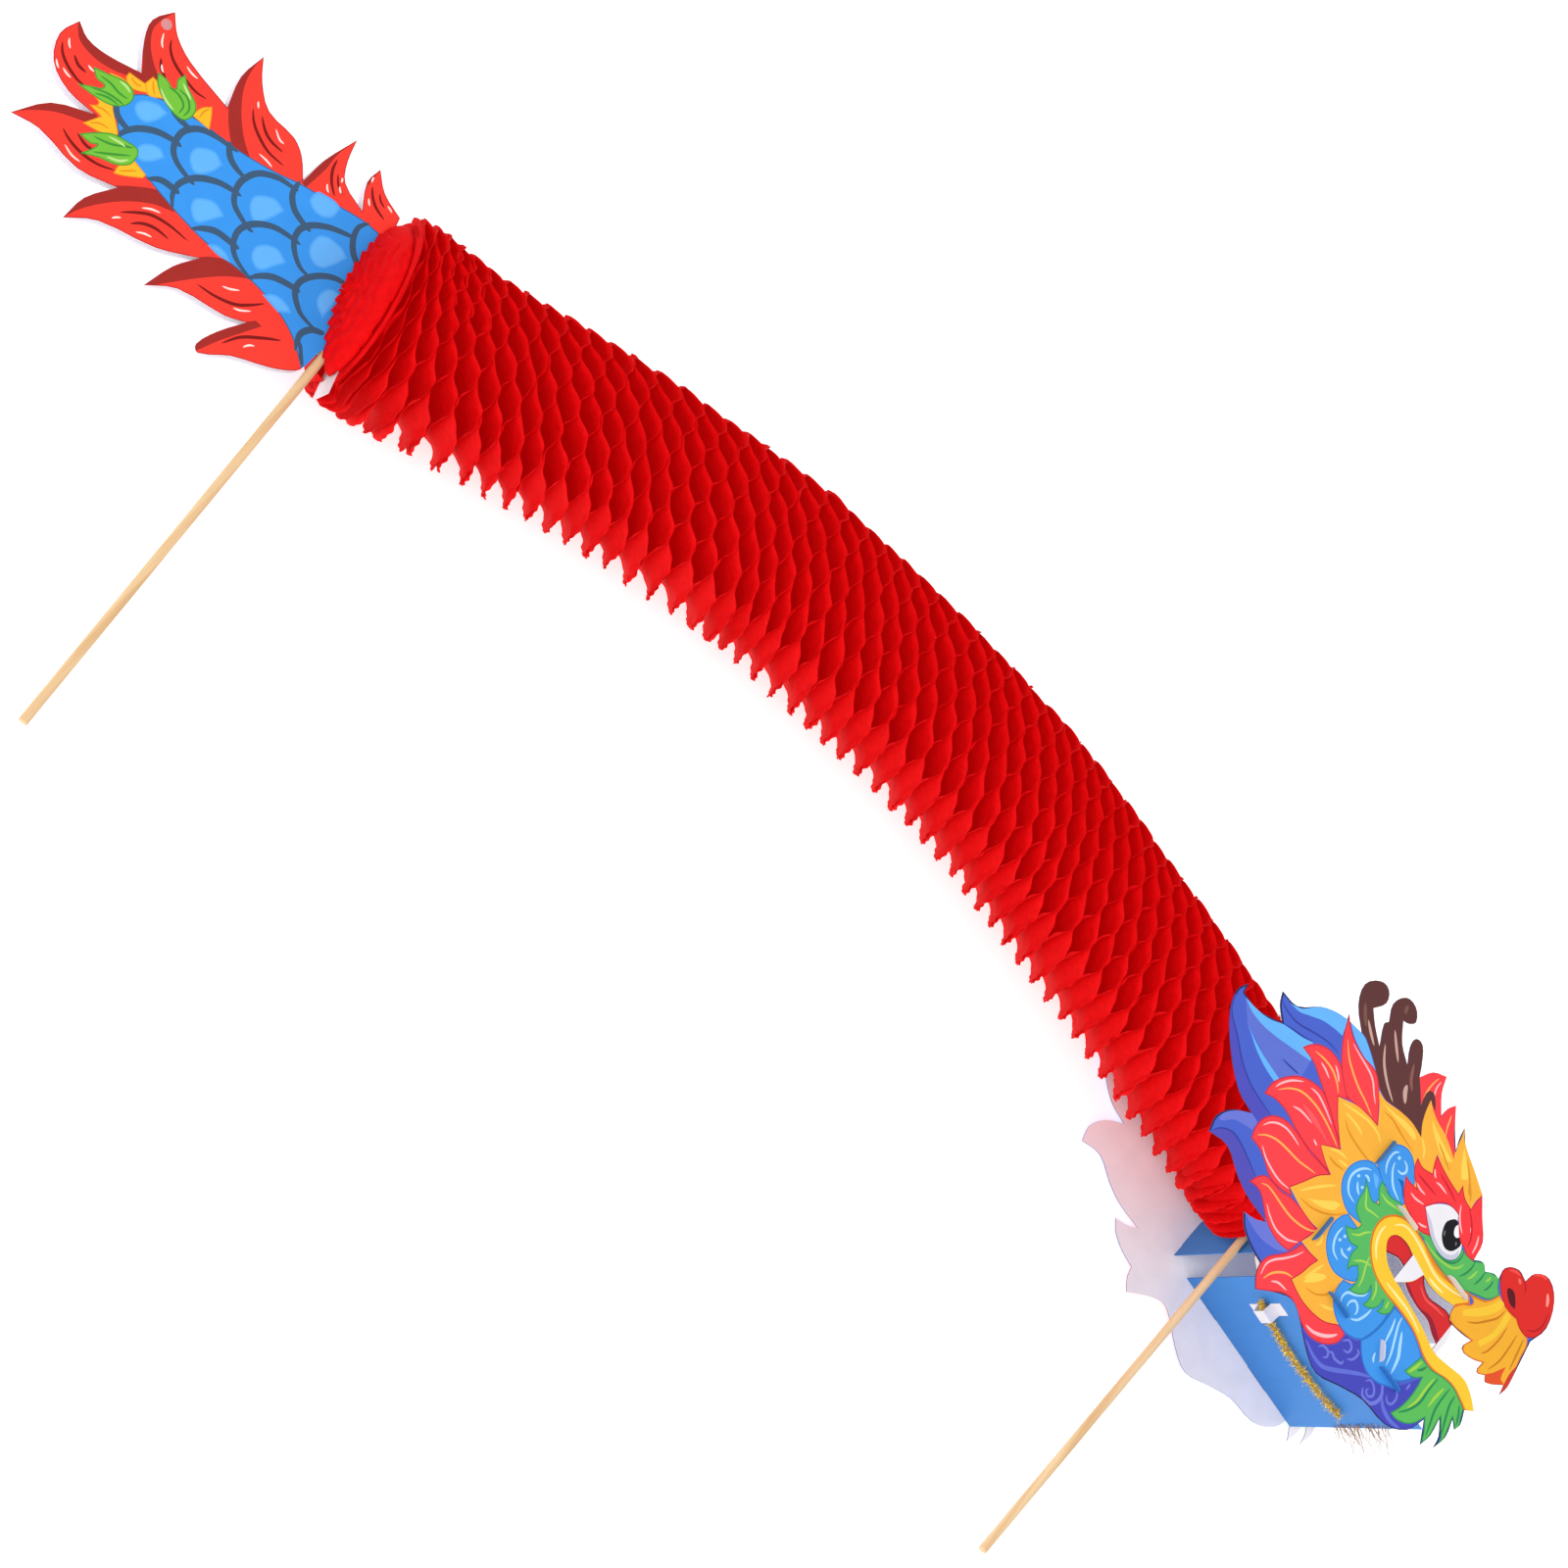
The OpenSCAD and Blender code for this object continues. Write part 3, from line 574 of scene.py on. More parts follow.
# snout, lips and fang
art.fill(leaf, [
    (82.5, 76.5, 1), (85, 79), (88, 81), (91, 79.5), (92.2, 78.3, 1), (94.5, 81), (98, 82.5),
    (101.5, 84, 1), (104, 80), (108, 77, 1), (106, 72), (103, 68.5), (97, 65), (92, 62, 1), (85, 57),
    (75, 55.5, 1), (60, 56), (50, 58, 1), (42, 58.5, 1), (52, 63, 1), (56, 62), (62, 61), (68, 62.3),
    (72, 66), (73, 71), (71.5, 75, 1), (76, 75)], leaf_edge)
art.line(ink(45, 140, 85), 1.3,
         [(83.5, 77), (84, 72), (83, 67), (81, 62.5)], [(92.2, 78), (92.5, 73), (91.5, 67)],
         [(99.5, 80), (99.8, 75), (98.5, 70)], [(74, 76), (75, 70), (73, 64.5), (67, 60.5), (60, 59.8)])
art.line(ink(150, 210, 85), 1.5,
         [(88, 75), (87.5, 70), (86, 66)], [(97, 79.5), (96.7, 77), (96, 75)],
         [(79, 70), (77, 65), (72, 61), (60, 58), (50, 58.5)])
art.fill(ink(251, 202, 52), [
    (92, 62, 1), (86, 58.5), (79, 56.7), (70, 55.6), (60, 56.2), (50, 57.5), (42, 58), (34, 56.8),
    (28, 53.3), (23.7, 48), (22, 42), (22.6, 36), (25.5, 30), (30, 25), (36, 21), (43, 18.6), (52, 17.8),
    (62, 18.4), (72, 18.6), (80, 17.9), (87, 16), (93, 13.8), (100, 13), (107, 14), (114, 16.7),
    (121, 17.5), (128, 16.3), (135, 14.5, 1), (141, 19, 1), (132, 30), (120, 30), (100, 26), (95, 45, 1),
    (91, 50, 1), (97, 58, 1)], ink(226, 118, 34), 1.2)
art.line(ink(236, 150, 40), 1.6, [(50, 57), (60, 54.5), (70, 53.5), (80, 55.5)])
art.line(ink(255, 236, 160), 1.6,
         [(31, 48), (33.5, 51.5), (38, 54), (45, 54.3), (55, 53), (65, 51), (72, 50.7), (80, 52.5),
          (88, 55.5), (95, 60)],
         [(67, 46.5), (73, 46.7), (80, 48)], [(27, 44), (27, 38), (30, 31), (36, 25.5)],
         [(48, 22.5), (60, 23), (72, 23), (84, 20.5)])
art.fill(ink(240, 236, 244), [(51, 47, 1), (63.5, 45, 1), (60.5, 36.5), (53, 27.5, 1), (51, 27.8, 1)])

# eye and brow
art.fill(ink(240, 238, 244), [
    (38.5, 71.5, 1), (41, 76), (45, 81), (50, 84.8), (55, 86), (57.5, 85.5, 1), (60, 82.5), (66, 78.5),
    (70, 76.5, 1), (72, 74), (73, 70), (71.5, 65.5), (67.5, 62.3), (62, 61.2), (56, 62), (50, 64.3),
    (44, 67.8)])
art.fill(ink(205, 203, 224), [
    (39, 71, 1), (46, 66.5), (53, 62.8), (60, 61.2), (67, 62), (71.5, 65.5), (73, 70), (71, 73, 1),
    (70, 68), (66, 64.5), (60, 63.7), (54, 65.2), (47, 69)])
art.fill(ink(22, 22, 26), [
    (54.2, 76), (55.5, 80), (58.5, 83), (62, 81.5), (66, 78.5), (69.7, 76), (69.5, 72), (67.5, 68),
    (63.8, 66), (60, 67), (56.5, 70)])
art.fill(ink(248, 248, 252), [(60.5, 79.5), (61, 82.2, 1), (66.5, 78.3, 1), (65, 76), (62.5, 76.2)])
art.line(ink(110, 110, 120), 1.2,
         [(57, 73), (57.5, 71.5), (58.5, 70)], [(66.5, 74.5), (67.2, 73.5), (67.5, 72.5)])
art.fill(ink(255, 58, 64), [
    (24, 97.3, 1), (32, 95.6), (40, 94.5), (49, 94, 1), (48, 99.7, 1), (54, 95.8), (61, 94.8, 1),
    (60.6, 100), (61, 106.8, 1), (66, 101.5), (73, 95.5), (79, 89), (82, 82), (82, 76, 1), (77, 74.8),
    (72, 76.2), (68, 76.8), (63, 80.5), (57, 86, 1), (50, 85), (44, 80.5), (38.5, 71.5, 1), (44, 67.8),
    (52, 63, 1), (47, 59.8), (41, 58.5, 1), (27, 61.5, 1), (22, 66), (17, 73, 1), (22, 72.8),
    (27, 73.8, 1), (21, 77.5), (17.5, 81.5), (16, 86, 1), (22, 85), (29, 87.7, 1),
    (26, 92.5)], ink(200, 35, 55))
art.line(pink, 1.2,
         [(28.5, 91), (30.5, 88.8), (32.5, 87.8)], [(34, 86.5), (38, 87.5), (44, 87.5)],
         [(25, 76), (29, 75.3), (34, 75.8)], [(26, 69), (31, 69.3), (37, 71.5)],
         [(41, 61.5), (44, 62.5), (47, 64.3)], [(54.5, 91.5), (58, 86.5), (62, 83), (66.5, 80.5)],
         [(68, 88), (69, 87), (70, 85.5)], [(75, 89), (77.5, 84), (78.8, 78)])
art.line(ink(205, 30, 50), 1.3,
         [(32, 92), (42, 91), (52, 89)], [(22, 80), (30, 80.5), (40, 81.5)],
         [(60, 94), (66, 90.5), (72, 84), (74, 78)])

# whisker fan and nose
art.fill(ink(244, 176, 48), [
    (108, 77.5, 1), (115, 76), (121, 76.3), (125.5, 77.3, 1), (130, 75.5), (138.5, 75.5, 1), (141, 72),
    (142.5, 64), (145, 55), (147, 45), (146, 39, 1), (144.5, 45, 1), (140, 41.5), (134.5, 36.5),
    (131.5, 39, 1), (126, 36), (125.5, 42.5, 1), (119, 38.5), (112, 36.3), (109.5, 39), (111.5, 45, 1),
    (104, 43), (96, 41.3), (91, 43.5), (90, 48.5, 1), (93, 54), (98, 60), (92, 61.5, 1), (99, 65),
    (105, 70)], ink(226, 118, 34))
art.fill(ink(248, 200, 55), [
    (110, 76, 1), (114, 76), (112, 67), (105, 57), (98, 50, 1), (96, 52), (104, 63), (108, 70)])
art.fill(ink(248, 200, 55), [
    (118, 75, 1), (122, 75, 1), (122.5, 60), (118, 47, 1), (115, 48, 1), (119, 60)])
art.fill(ink(230, 84, 40), [
    (138.5, 53, 1), (140.5, 46), (144, 45.5, 1), (140, 41), (134.5, 36.3), (131.3, 39), (134, 43.5)])
art.fill(ink(205, 60, 45), [(143.5, 60, 1), (146, 52), (147.3, 44), (146, 39, 1), (144.5, 44), (143, 52)])
art.line(ink(205, 125, 25), 1.3,
         [(116.8, 75), (116, 68), (112, 61), (107, 54), (102, 49.5)],
         [(124, 70), (124.7, 60), (123.5, 50), (121, 45)],
         [(131.8, 72), (132.8, 62), (133, 52), (130.5, 42)], [(136.5, 74), (139, 64), (141.5, 53)],
         [(92, 61), (98, 64), (105, 68)])
art.fill(ink(224, 42, 38), [
    (100.2, 88), (101.5, 92.5), (105.5, 96), (110, 97.3), (115, 96, 1), (115.8, 101), (118.5, 106),
    (123, 109.5), (128, 110), (134, 107.5), (139.5, 102), (142.5, 95), (143.5, 88), (142, 80.5),
    (138, 76), (133, 74.8), (128, 76), (125.5, 77.3, 1), (121, 76.3), (115, 76), (110, 77.5), (106, 80),
    (102.5, 83.5)], ink(185, 28, 32))
art.line(ink(250, 75, 70), 1.8, [(103, 92), (107, 95), (111, 96)], [(117, 103), (121, 107.5), (126, 109)])
art.line(ink(190, 30, 35), 1.5,
         [(115, 96), (118, 94), (120, 91.5)], [(134, 78), (139, 82), (141, 89), (139, 97)])
art.line(ink(255, 150, 140), 2.2, [(131, 104), (134, 101), (136, 98)])
art.line(ink(250, 110, 100), 2.0, [(111, 94), (113, 93.3), (114, 92.5)])
art.fill(ink(90, 20, 28), [
    (109.5, 84), (111.5, 86), (115, 85.8), (118.5, 83), (121, 80, 1), (117, 79.3), (112.5, 81)])

# fur under the chin
art.fill(ink(92, 190, 90), [
    (93.5, 13, 1), (92.5, 8), (90.5, -1.5, 1), (95, -0.5), (98.5, 1.5), (101.5, 5, 1), (102.5, 0),
    (103, -8), (102, -17), (99.5, -24, 1), (105, -23.5), (112, -19.5), (116, -14), (118, -8.5, 1),
    (122, -13), (126, -20, 1), (127.3, -13), (126, -5), (125.5, 0, 1), (129.5, -4), (133.5, -8),
    (134, -14.5, 1), (135.5, -8), (133.5, 0), (131.5, 6, 1), (134.5, 4.5), (137.5, 2.3, 1), (138, 6),
    (136, 10), (133.5, 15, 1), (127, 16.8), (120, 18), (112, 16.5), (104, 13.5), (98, 12.8)], leaf_edge)
art.line(ink(40, 140, 85), 1.6,
         [(110, 14), (109.5, 5), (110, -5), (107, -14), (103, -20)],
         [(119.5, 16), (119.3, 8), (120, 0), (123, -8), (125.5, -15)],
         [(124.5, 16), (125.5, 9), (129, 1), (133, -7)], [(100, 12), (98.5, 8), (96.5, 5.5)],
         [(130, 14.5), (133.5, 10), (136.5, 4.5)])
art.line(ink(165, 215, 70), 1.6,
         [(108, 12), (107.8, 3), (108, -6), (106, -14)], [(116.5, 13), (115.5, 5), (115.5, -3)],
         [(96, 12), (94.5, 5), (93, 0)])

for side, outwards in (("right", 1), ("left", -1)):
    panel = printed_card(f"head_{side}_side", f"head_panel_{side}", art, ink(74, 100, 205),
                         ink(30, 45, 90), head_trim, head_zero, head_lean, outwards, ink(60, 70, 120))
    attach(panel, "head")

# ---------------------------------------------------------------------------------------------------
# Tongues: a card behind each panel, glued on where the mouth is cut out. It is bright on top, darker
# below, with the white of the bare card at its front end.
tongue_trim = 0.8
tongue_art = Print()
tongue_art.fill(ink(150, 30, 50), [
    (20, 20, 1), (20, 33.5, 1), (60, 33.5), (68, 31.5), (75, 31), (82, 33), (88, 32), (96, 28.5, 1),
    (110, 20, 1)])
tongue_art.fill(ink(90, 20, 30), [
    (20, 10, 1), (20, 26, 1), (66, 27), (75, 26.5), (84, 28), (96, 24, 1), (110, 10, 1)])
tongue_art.fill(ink(236, 234, 238), [(96.3, 10, 1), (96.3, 60, 1), (110, 60, 1), (110, 10, 1)])
tongue_art.line(ink(245, 90, 88), 1.2, [(66, 39.5), (74, 37), (82, 38.8), (90, 40)])
for side, outwards in (("right", 1), ("left", -1)):
    tongue = printed_card(f"tongue_{side}_side", f"tongue_{side}", tongue_art, ink(216, 42, 46),
                          ink(110, 25, 35), tongue_trim, head_zero, head_lean, outwards, card_white)
    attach(tongue, "head")

# ---------------------------------------------------------------------------------------------------
# Tail cards: two printed cards back to back, with the tail stick between them. Their print is
# overlapping blue scales, red flames round them with a dark band along one side of each, and
# yellow and green leaves at the rounded end.
tail_zero, tail_lean = np.array([-342.792, 85.757]), 0.0
tail_trim = 0.6
art = Print()
band, stroke = ink(165, 45, 40), ink(128, 26, 24)
art.fill(band, [(-27, 18.5, 1), (-29, 12), (-28, 6), (-24, 0), (-19, -5, 1), (-25, 4), (-26, 11)])
art.fill(band, [
    (-45, 19.5, 1), (-48, 12), (-50, 0), (-50, -19, 1), (-46, -20, 1), (-45.5, -5), (-46.5, 6)])
art.fill(band, [
    (-104.5, 9, 1), (-107, 0), (-106, -9), (-102, -18), (-95, -27), (-88, -33), (-82, -37, 1),
    (-73, -33, 1), (-84, -27), (-94, -18), (-101, -8), (-104, 2)])
art.fill(band, [
    (-148, -11.5, 1), (-153, -20), (-152, -31), (-146, -38), (-140, -43), (-137.5, -48, 1),
    (-128, -52, 1), (-126, -44, 1), (-132, -40.5), (-139, -37), (-146, -31), (-149.5, -24)])
art.fill(band, [
    (-176, -52, 1), (-166, -54), (-155, -52), (-145, -48), (-137, -45, 1), (-130, -50, 1), (-139, -52),
    (-148, -57), (-157, -60), (-167, -60), (-172, -57)])
art.fill(band, [
    (-165, -112, 1), (-164, -103), (-157, -92), (-148, -84), (-138, -79, 1), (-132, -82, 1), (-142, -88),
    (-152, -95), (-160, -104)])
art.fill(band, [
    (-114, -128.5, 1), (-116, -118), (-113, -105), (-107, -95), (-98, -85), (-92, -80, 1), (-80, -82, 1),
    (-90, -88), (-99, -97), (-107, -109), (-112, -120)])
art.fill(band, [
    (-66, -120.5, 1), (-67, -110), (-62, -98), (-56, -86), (-48, -78, 1), (-33, -75, 1), (-42, -84),
    (-50, -95), (-58, -108), (-64, -118)])
art.fill(band, [
    (-27.5, -123, 1), (-31, -117), (-28, -106), (-22, -95), (-17.5, -88, 1), (-13.5, -87.5, 1),
    (-18, -98), (-23, -110), (-26, -119)])
art.line(stroke, 1.7,
         [(-24, 9), (-20, 5), (-15, 2.5), (-8, 1.5)], [(-45, 4), (-43, -2), (-39, -7), (-33, -11)],
         [(-90.5, -13), (-85, -18), (-78, -21), (-70, -22.5), (-60, -21)],
         [(-85, -12), (-79, -16), (-73, -17.5), (-65, -16.5)],
         [(-140, -22), (-137, -26), (-132, -29), (-125, -30.5), (-115, -31), (-108, -29)],
         [(-137, -33), (-133, -37), (-128, -38.5)],
         [(-173, -67), (-169, -71), (-163, -73.5), (-155, -74.5), (-148, -73)],
         [(-165, -67), (-160, -69), (-155, -68.5)],
         [(-144, -97), (-138, -98.5), (-130, -98.5), (-121, -96), (-113, -91)],
         [(-138, -93), (-131, -94), (-125, -92)],
         [(-98, -104), (-93, -98), (-87, -92.5), (-78, -89), (-66, -87)],
         [(-91, -104), (-87, -99), (-81, -95.5), (-73, -94)],
         [(-49.5, -98.6), (-39.5, -95.7), (-30, -90.7), (-24.3, -84.3), (-20, -78)],
         [(-21.4, -110), (-17, -100), (-8.6, -90.7), (-2, -84.6)])
art.line(stroke, 1.2, [(-19, 9.5), (-16, 7), (-12, 6)], [(-40, -1), (-36, -5), (-31, -7)])
art.line(ink(255, 232, 224), 1.0,
         [(-26.5, 13), (-26.2, 11.5), (-25.5, 10)], [(-21, 3), (-19.5, 1.5), (-18, 0.5)],
         [(-12, 8.2), (-10, 8), (-8, 7.5)], [(-37, -0.7), (-36.2, -1.7), (-35.7, -3)],
         [(-35, -5), (-33.5, -6.3), (-32, -7)], [(-40, -9.3), (-38.5, -11), (-36.4, -12.1)],
         [(-91, -8.5), (-90, -9.5), (-88.5, -11)], [(-76, -11), (-71, -13.3), (-68, -13)],
         [(-73, -27), (-68, -26.3), (-64, -26.5)], [(-144.5, -23), (-142, -27), (-139.5, -29)],
         [(-126, -25.5), (-122, -26), (-118, -25.5)], [(-134.5, -35), (-133, -36.5), (-131, -37.5)],
         [(-172, -63), (-170.3, -65), (-168, -66.5)], [(-169, -75.5), (-167, -77), (-165, -78)],
         [(-164, -76), (-161, -76.6), (-158, -76.5)], [(-157, -65), (-155, -65.3), (-153, -65)],
         [(-138, -102), (-132, -103), (-127, -102)], [(-92.6, -93.9), (-89, -90.5), (-84.6, -88)],
         [(-86.4, -104.6), (-83, -101.8), (-79.3, -100)],
         [(-98.6, -109.3), (-97.3, -107), (-95.7, -105.4)],
         [(-40.3, -89.3), (-36.5, -87), (-32.9, -83.6)], [(-29.3, -92.6), (-26, -90.5), (-22.1, -86.4)],
         [(-12.9, -102.6), (-11.5, -99.5), (-9.3, -97.4)])

scale_blue, scale_light, scale_line = ink(58, 152, 240), ink(100, 182, 255), ink(62, 92, 122)
art.fill(scale_blue, [
    (8, -4, 1), (-5, -5.5), (-14, -7), (-24, -10.5), (-36, -15.5), (-48, -20), (-60, -26), (-72, -31),
    (-84, -35), (-97, -38), (-110, -42), (-122, -47), (-130, -53), (-134.5, -61), (-133, -69),
    (-126, -76), (-114, -80.5), (-98, -81.3), (-80, -81.7), (-64, -81), (-50, -79), (-38, -76.5),
    (-24, -75.2), (-12, -76), (-2, -78.3), (6, -82), (13.5, -86.5, 1), (24, -86, 1),
    (24, -60, 1)], ink(60, 96, 140), 0.6)
for light in (
        [(-3, -6, 1), (2, -5), (6, -10), (2, -17), (-3, -13)],
        [(-24, -30), (-14, -26.5), (-8, -28, 1), (-10, -36), (-14, -43), (-21, -43), (-25, -38)],
        [(-40, -15.5, 1), (-32, -12.5), (-27, -12.5, 1), (-27, -20), (-33, -24.5), (-40, -23),
         (-41, -18)],
        [(-59, -42), (-52, -36.5), (-45, -37, 1), (-47, -45), (-51, -53), (-57, -51), (-60, -46)],
        [(-95, -50), (-88, -44.5), (-81, -46, 1), (-82, -53), (-87, -60), (-93, -58), (-95.5, -54)],
        [(-3, -46), (3, -44, 1), (4, -60, 1), (-3, -57), (-5, -52)],
        [(-42, -60), (-35, -53.5), (-27, -55, 1), (-30, -62), (-34, -69), (-41, -66.5)],
        [(-78, -68), (-71, -62.5), (-63, -63.5, 1), (-66, -70), (-70, -77), (-76, -75), (-78.5, -71)],
        [(-129, -57), (-123, -51), (-116, -50, 1), (-117, -57), (-121, -63), (-128, -62)],
        [(-113, -70), (-107, -65.5), (-102, -67, 1), (-105, -74), (-110, -78), (-114, -75)],
        [(-24, -76, 1), (-20, -71), (-12, -69.5), (-8, -71, 1), (-13, -76, 1)],
        [(-59, -80.5, 1), (-56, -77), (-50, -76), (-45, -77.5, 1), (-52, -80)]):
    art.fill(scale_light, light, ink(84, 170, 250), 1.0)
art.line(scale_line, 3.4,
         [(-12, -5.5), (-14.5, -12), (-12, -19), (-6, -24.5), (3, -26.8), (6, -26.5)],
         [(-13, -18), (-15.7, -19.3), (-24.3, -24.3), (-31.4, -31.4), (-33.6, -38.6), (-30, -45.7),
          (-21.4, -50.7), (-13, -50.5)],
         [(-50, -19.5), (-49.5, -23), (-47.9, -27.9), (-42, -32.5), (-33, -33.8), (-29, -33.5)],
         [(-47, -24), (-50.7, -25.2), (-58.6, -27.9), (-66.4, -34.3), (-69.3, -42.9), (-67.9, -50),
          (-62.9, -55.7), (-52, -58), (-48, -57.5)],
         [(-87, -35), (-85.7, -36), (-81.4, -40), (-75.7, -41.6), (-67, -41.5)],
         [(-80, -35), (-84.3, -36.2), (-92.9, -38.6), (-100.7, -42.9), (-105, -50.7), (-102.9, -59.3),
          (-97, -63.6), (-87, -64.8), (-83, -64.5)],
         [(-116, -46.5), (-114.3, -47), (-108.6, -47.2), (-102, -46.2)],
         [(6, -37.5), (1.4, -37.9), (-5.7, -40.7), (-12.1, -47.1), (-15.7, -55), (-14.3, -61.4),
          (-8.6, -65.7), (-2.9, -67.5), (8, -67)],
         [(-28, -42.5), (-32.9, -43.6), (-42.9, -47.1), (-50.7, -54.3), (-53.6, -62.9), (-50, -70.7),
          (-42.9, -74.5), (-31, -75.3)],
         [(-64, -49.5), (-68.6, -50.7), (-77, -54.3), (-85, -61.4), (-88.6, -70), (-87, -77), (-82, -82)],
         [(-100, -56.5), (-104.3, -57), (-112.9, -60.7), (-120, -67.1), (-123.6, -74.3), (-124, -81)],
         [(-12, -60), (-15.7, -60.7), (-25.7, -65), (-31.4, -70.7), (-34.8, -77)],
         [(-47, -69.3), (-50.7, -70), (-60, -72.1), (-65.7, -76.4), (-70, -82)],
         [(-85, -73.8), (-88.6, -74.3), (-95.7, -76.4), (-101, -82)],
         [(-137, -66.5), (-135, -68), (-131.4, -70.9), (-125.7, -71.8), (-121, -70.7)],
         [(10, -64.5), (8.6, -65.7), (4.3, -68.6), (2, -74.3), (3.6, -79), (6, -83)])
art.line(scale_line, 2.2, [(3, -77.5), (6, -79), (10, -82.5), (14, -85.5)])

leaf_yellow, yellow_line = ink(255, 190, 42), ink(232, 148, 30)
for leaf_shape in (
        [(-104, -29.5, 1), (-107, -34), (-108, -41, 1), (-97, -39, 1), (-101, -33)],
        [(-133, -43, 1), (-133.5, -50, 1), (-128, -51.5), (-122, -46.5, 1), (-129, -43)],
        [(-142, -51, 1), (-141, -54.5), (-136, -56), (-129, -51, 1), (-133, -48.5, 1), (-138, -50)],
        [(-148, -59, 1), (-141, -55.5), (-137, -56, 1), (-140, -62, 1)],
        [(-137, -68, 1), (-145, -73.5, 1), (-141, -74.5), (-143.5, -78.5, 1), (-136, -78, 1),
         (-139.5, -87.5, 1), (-132, -84.5), (-124, -80, 1), (-125, -77), (-134, -71)],
        [(-112, -80, 1), (-114, -88), (-113, -93, 1), (-109, -90), (-102, -83, 1), (-102, -80.5, 1)]):
    art.fill(leaf_yellow, leaf_shape, yellow_line, 0.5)
art.line(yellow_line, 1.0,
         [(-104, -31), (-105, -35), (-104.5, -39)], [(-132, -44), (-129, -47), (-126, -49)],
         [(-140, -52), (-136, -52.5), (-133, -51)], [(-142, -77), (-137, -74.5), (-132, -74)],
         [(-137.5, -85), (-134, -81), (-129, -79)], [(-112, -90), (-109, -86), (-106, -82.5)])
leaf_green, green_line = ink(118, 195, 62), ink(62, 150, 56)
art.fill(leaf_green, [
    (-123.5, -29, 1), (-124.3, -34), (-122, -38.5), (-128, -38.2), (-133, -39.5, 1), (-129, -44),
    (-122, -47), (-114, -47.8), (-108.5, -46), (-107, -41), (-109, -36), (-113, -34),
    (-118, -32.5)], green_line, 0.6)
art.fill(leaf_green, [
    (-155, -63.5, 1), (-148, -60), (-141, -56.2), (-135, -55.7), (-131.5, -59), (-132, -65),
    (-137, -70.5), (-146, -74), (-154.5, -76, 1), (-149, -71), (-145, -66.3),
    (-150, -66.5)], green_line, 0.6)
art.fill(leaf_green, [
    (-111, -77, 1), (-113.5, -74.7), (-119, -76), (-126, -79), (-131, -84), (-134, -88), (-137, -92.7, 1),
    (-130, -91.5), (-127.5, -89.5), (-130, -99, 1), (-123, -93.5), (-115, -89),
    (-110.5, -83)], green_line, 0.6)
art.line(green_line, 1.2,
         [(-125, -40.5), (-119, -39), (-113.5, -41), (-112.5, -46)],
         [(-121, -37), (-115, -36.5), (-110.5, -40), (-110, -45)],
         [(-150, -64), (-144, -62.5), (-138, -62.5), (-133, -61)],
         [(-149, -72), (-142, -67.5), (-136, -65.5), (-132.5, -65)],
         [(-146, -72.5), (-140, -68.5), (-134, -67)], [(-132, -88), (-124, -84), (-117, -78)],
         [(-127, -94), (-120, -87), (-113, -79.5)], [(-124, -80), (-119, -79), (-115, -76)])
art.line(ink(190, 228, 140), 1.3,
         [(-127, -44), (-121, -46.2), (-115, -46.6)], [(-121.5, -33), (-117, -34.5), (-113, -36)],
         [(-142, -58), (-138, -57.3), (-134.5, -58)], [(-127, -82), (-121, -79.5), (-118, -79)],
         [(-121, -90), (-115.5, -86.5), (-112.5, -82)])

for side, outwards in (("right", 1), ("left", -1)):
    card = printed_card(f"tail_{side}_side", f"tail_card_{side}", art, ink(255, 64, 52),
                        ink(196, 44, 44), tail_trim, tail_zero, tail_lean, outwards, card_white)
    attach(card, "tail")

# ---------------------------------------------------------------------------------------------------
# Cross strips and discs: uncoated card in one colour. Two blue strips, the neck wall and the throat
# floor, and two white ones hold the head's panels apart by their tabs. A white disc closes each end of
# the tissue. They keep their CAD shapes.


def finish_cad(names, material):
    """Gives CAD nodes that keep showing a material."""
    for name in names:
        shown = frame["nodes"][name].data.materials
        shown.clear()
        shown.append(material)


def board_of(name, colour, roughness=0.5):
    """Uncoated card of one colour, with a faint fibre that is a tenth darker."""
    material, place, shader = finish_of(name, roughness, Specular_IOR_Level=0.35)
    fibre = noise(place, 160, 5, (1, 1, 0.3)).between(0.2, 0.8)
    darker = tuple(0.9 * c for c in colour)
    drive(shader, Base_Color=fibre.mix(darker, colour), Normal=bump(noise(place, 900, 3), 0.00005, 0.5))
    return material


finish_cad(["neck_wall", "throat_floor"], board_of("blue_board", ink(52, 128, 206)))
finish_cad(["palate", "jaw_strip", "neck_disc", "tail_disc"], board_of("white_board", ink(232, 226, 232)))

# ---------------------------------------------------------------------------------------------------
# Tape and sticker: the strip of paper tape that holds the tinsel's end under the throat floor, and the
# round film sticker near a flame tip of the tail.
finish_cad(["tinsel_tape"], board_of("paper_tape", ink(228, 224, 232), 0.6))

sticker_film, place, shader = finish_of("sticker_film", 0.12, Specular_IOR_Level=0.6, Alpha=0.35)
drive(shader, Base_Color=noise(place, 400).mix(ink(244, 214, 220), ink(250, 232, 236)))
finish_cad(["round_sticker"], sticker_film)

# ---------------------------------------------------------------------------------------------------
# Sticks: straight-grained pale dowels, glued to the neck wall and between the tail cards. The grain is
# drawn out along their length, which runs up and down the puppet.
dowel, place, shader = finish_of("dowel", 0.55, Specular_IOR_Level=0.35)
grain = noise(place, 260, 4, (1, 0.03, 1)).between(0.35, 0.7)
cloudy = noise(place, 30, 2, (1, 0.3, 1)).between(0.3, 0.7)
drive(shader, Base_Color=cloudy.mix(grain.mix(ink(214, 172, 122), ink(238, 206, 160)),
                                    grain.mix(ink(226, 186, 138), ink(244, 214, 172))),
      Normal=bump(grain, 0.0001, 0.5))
finish_cad(["head_stick", "tail_stick"], dowel)

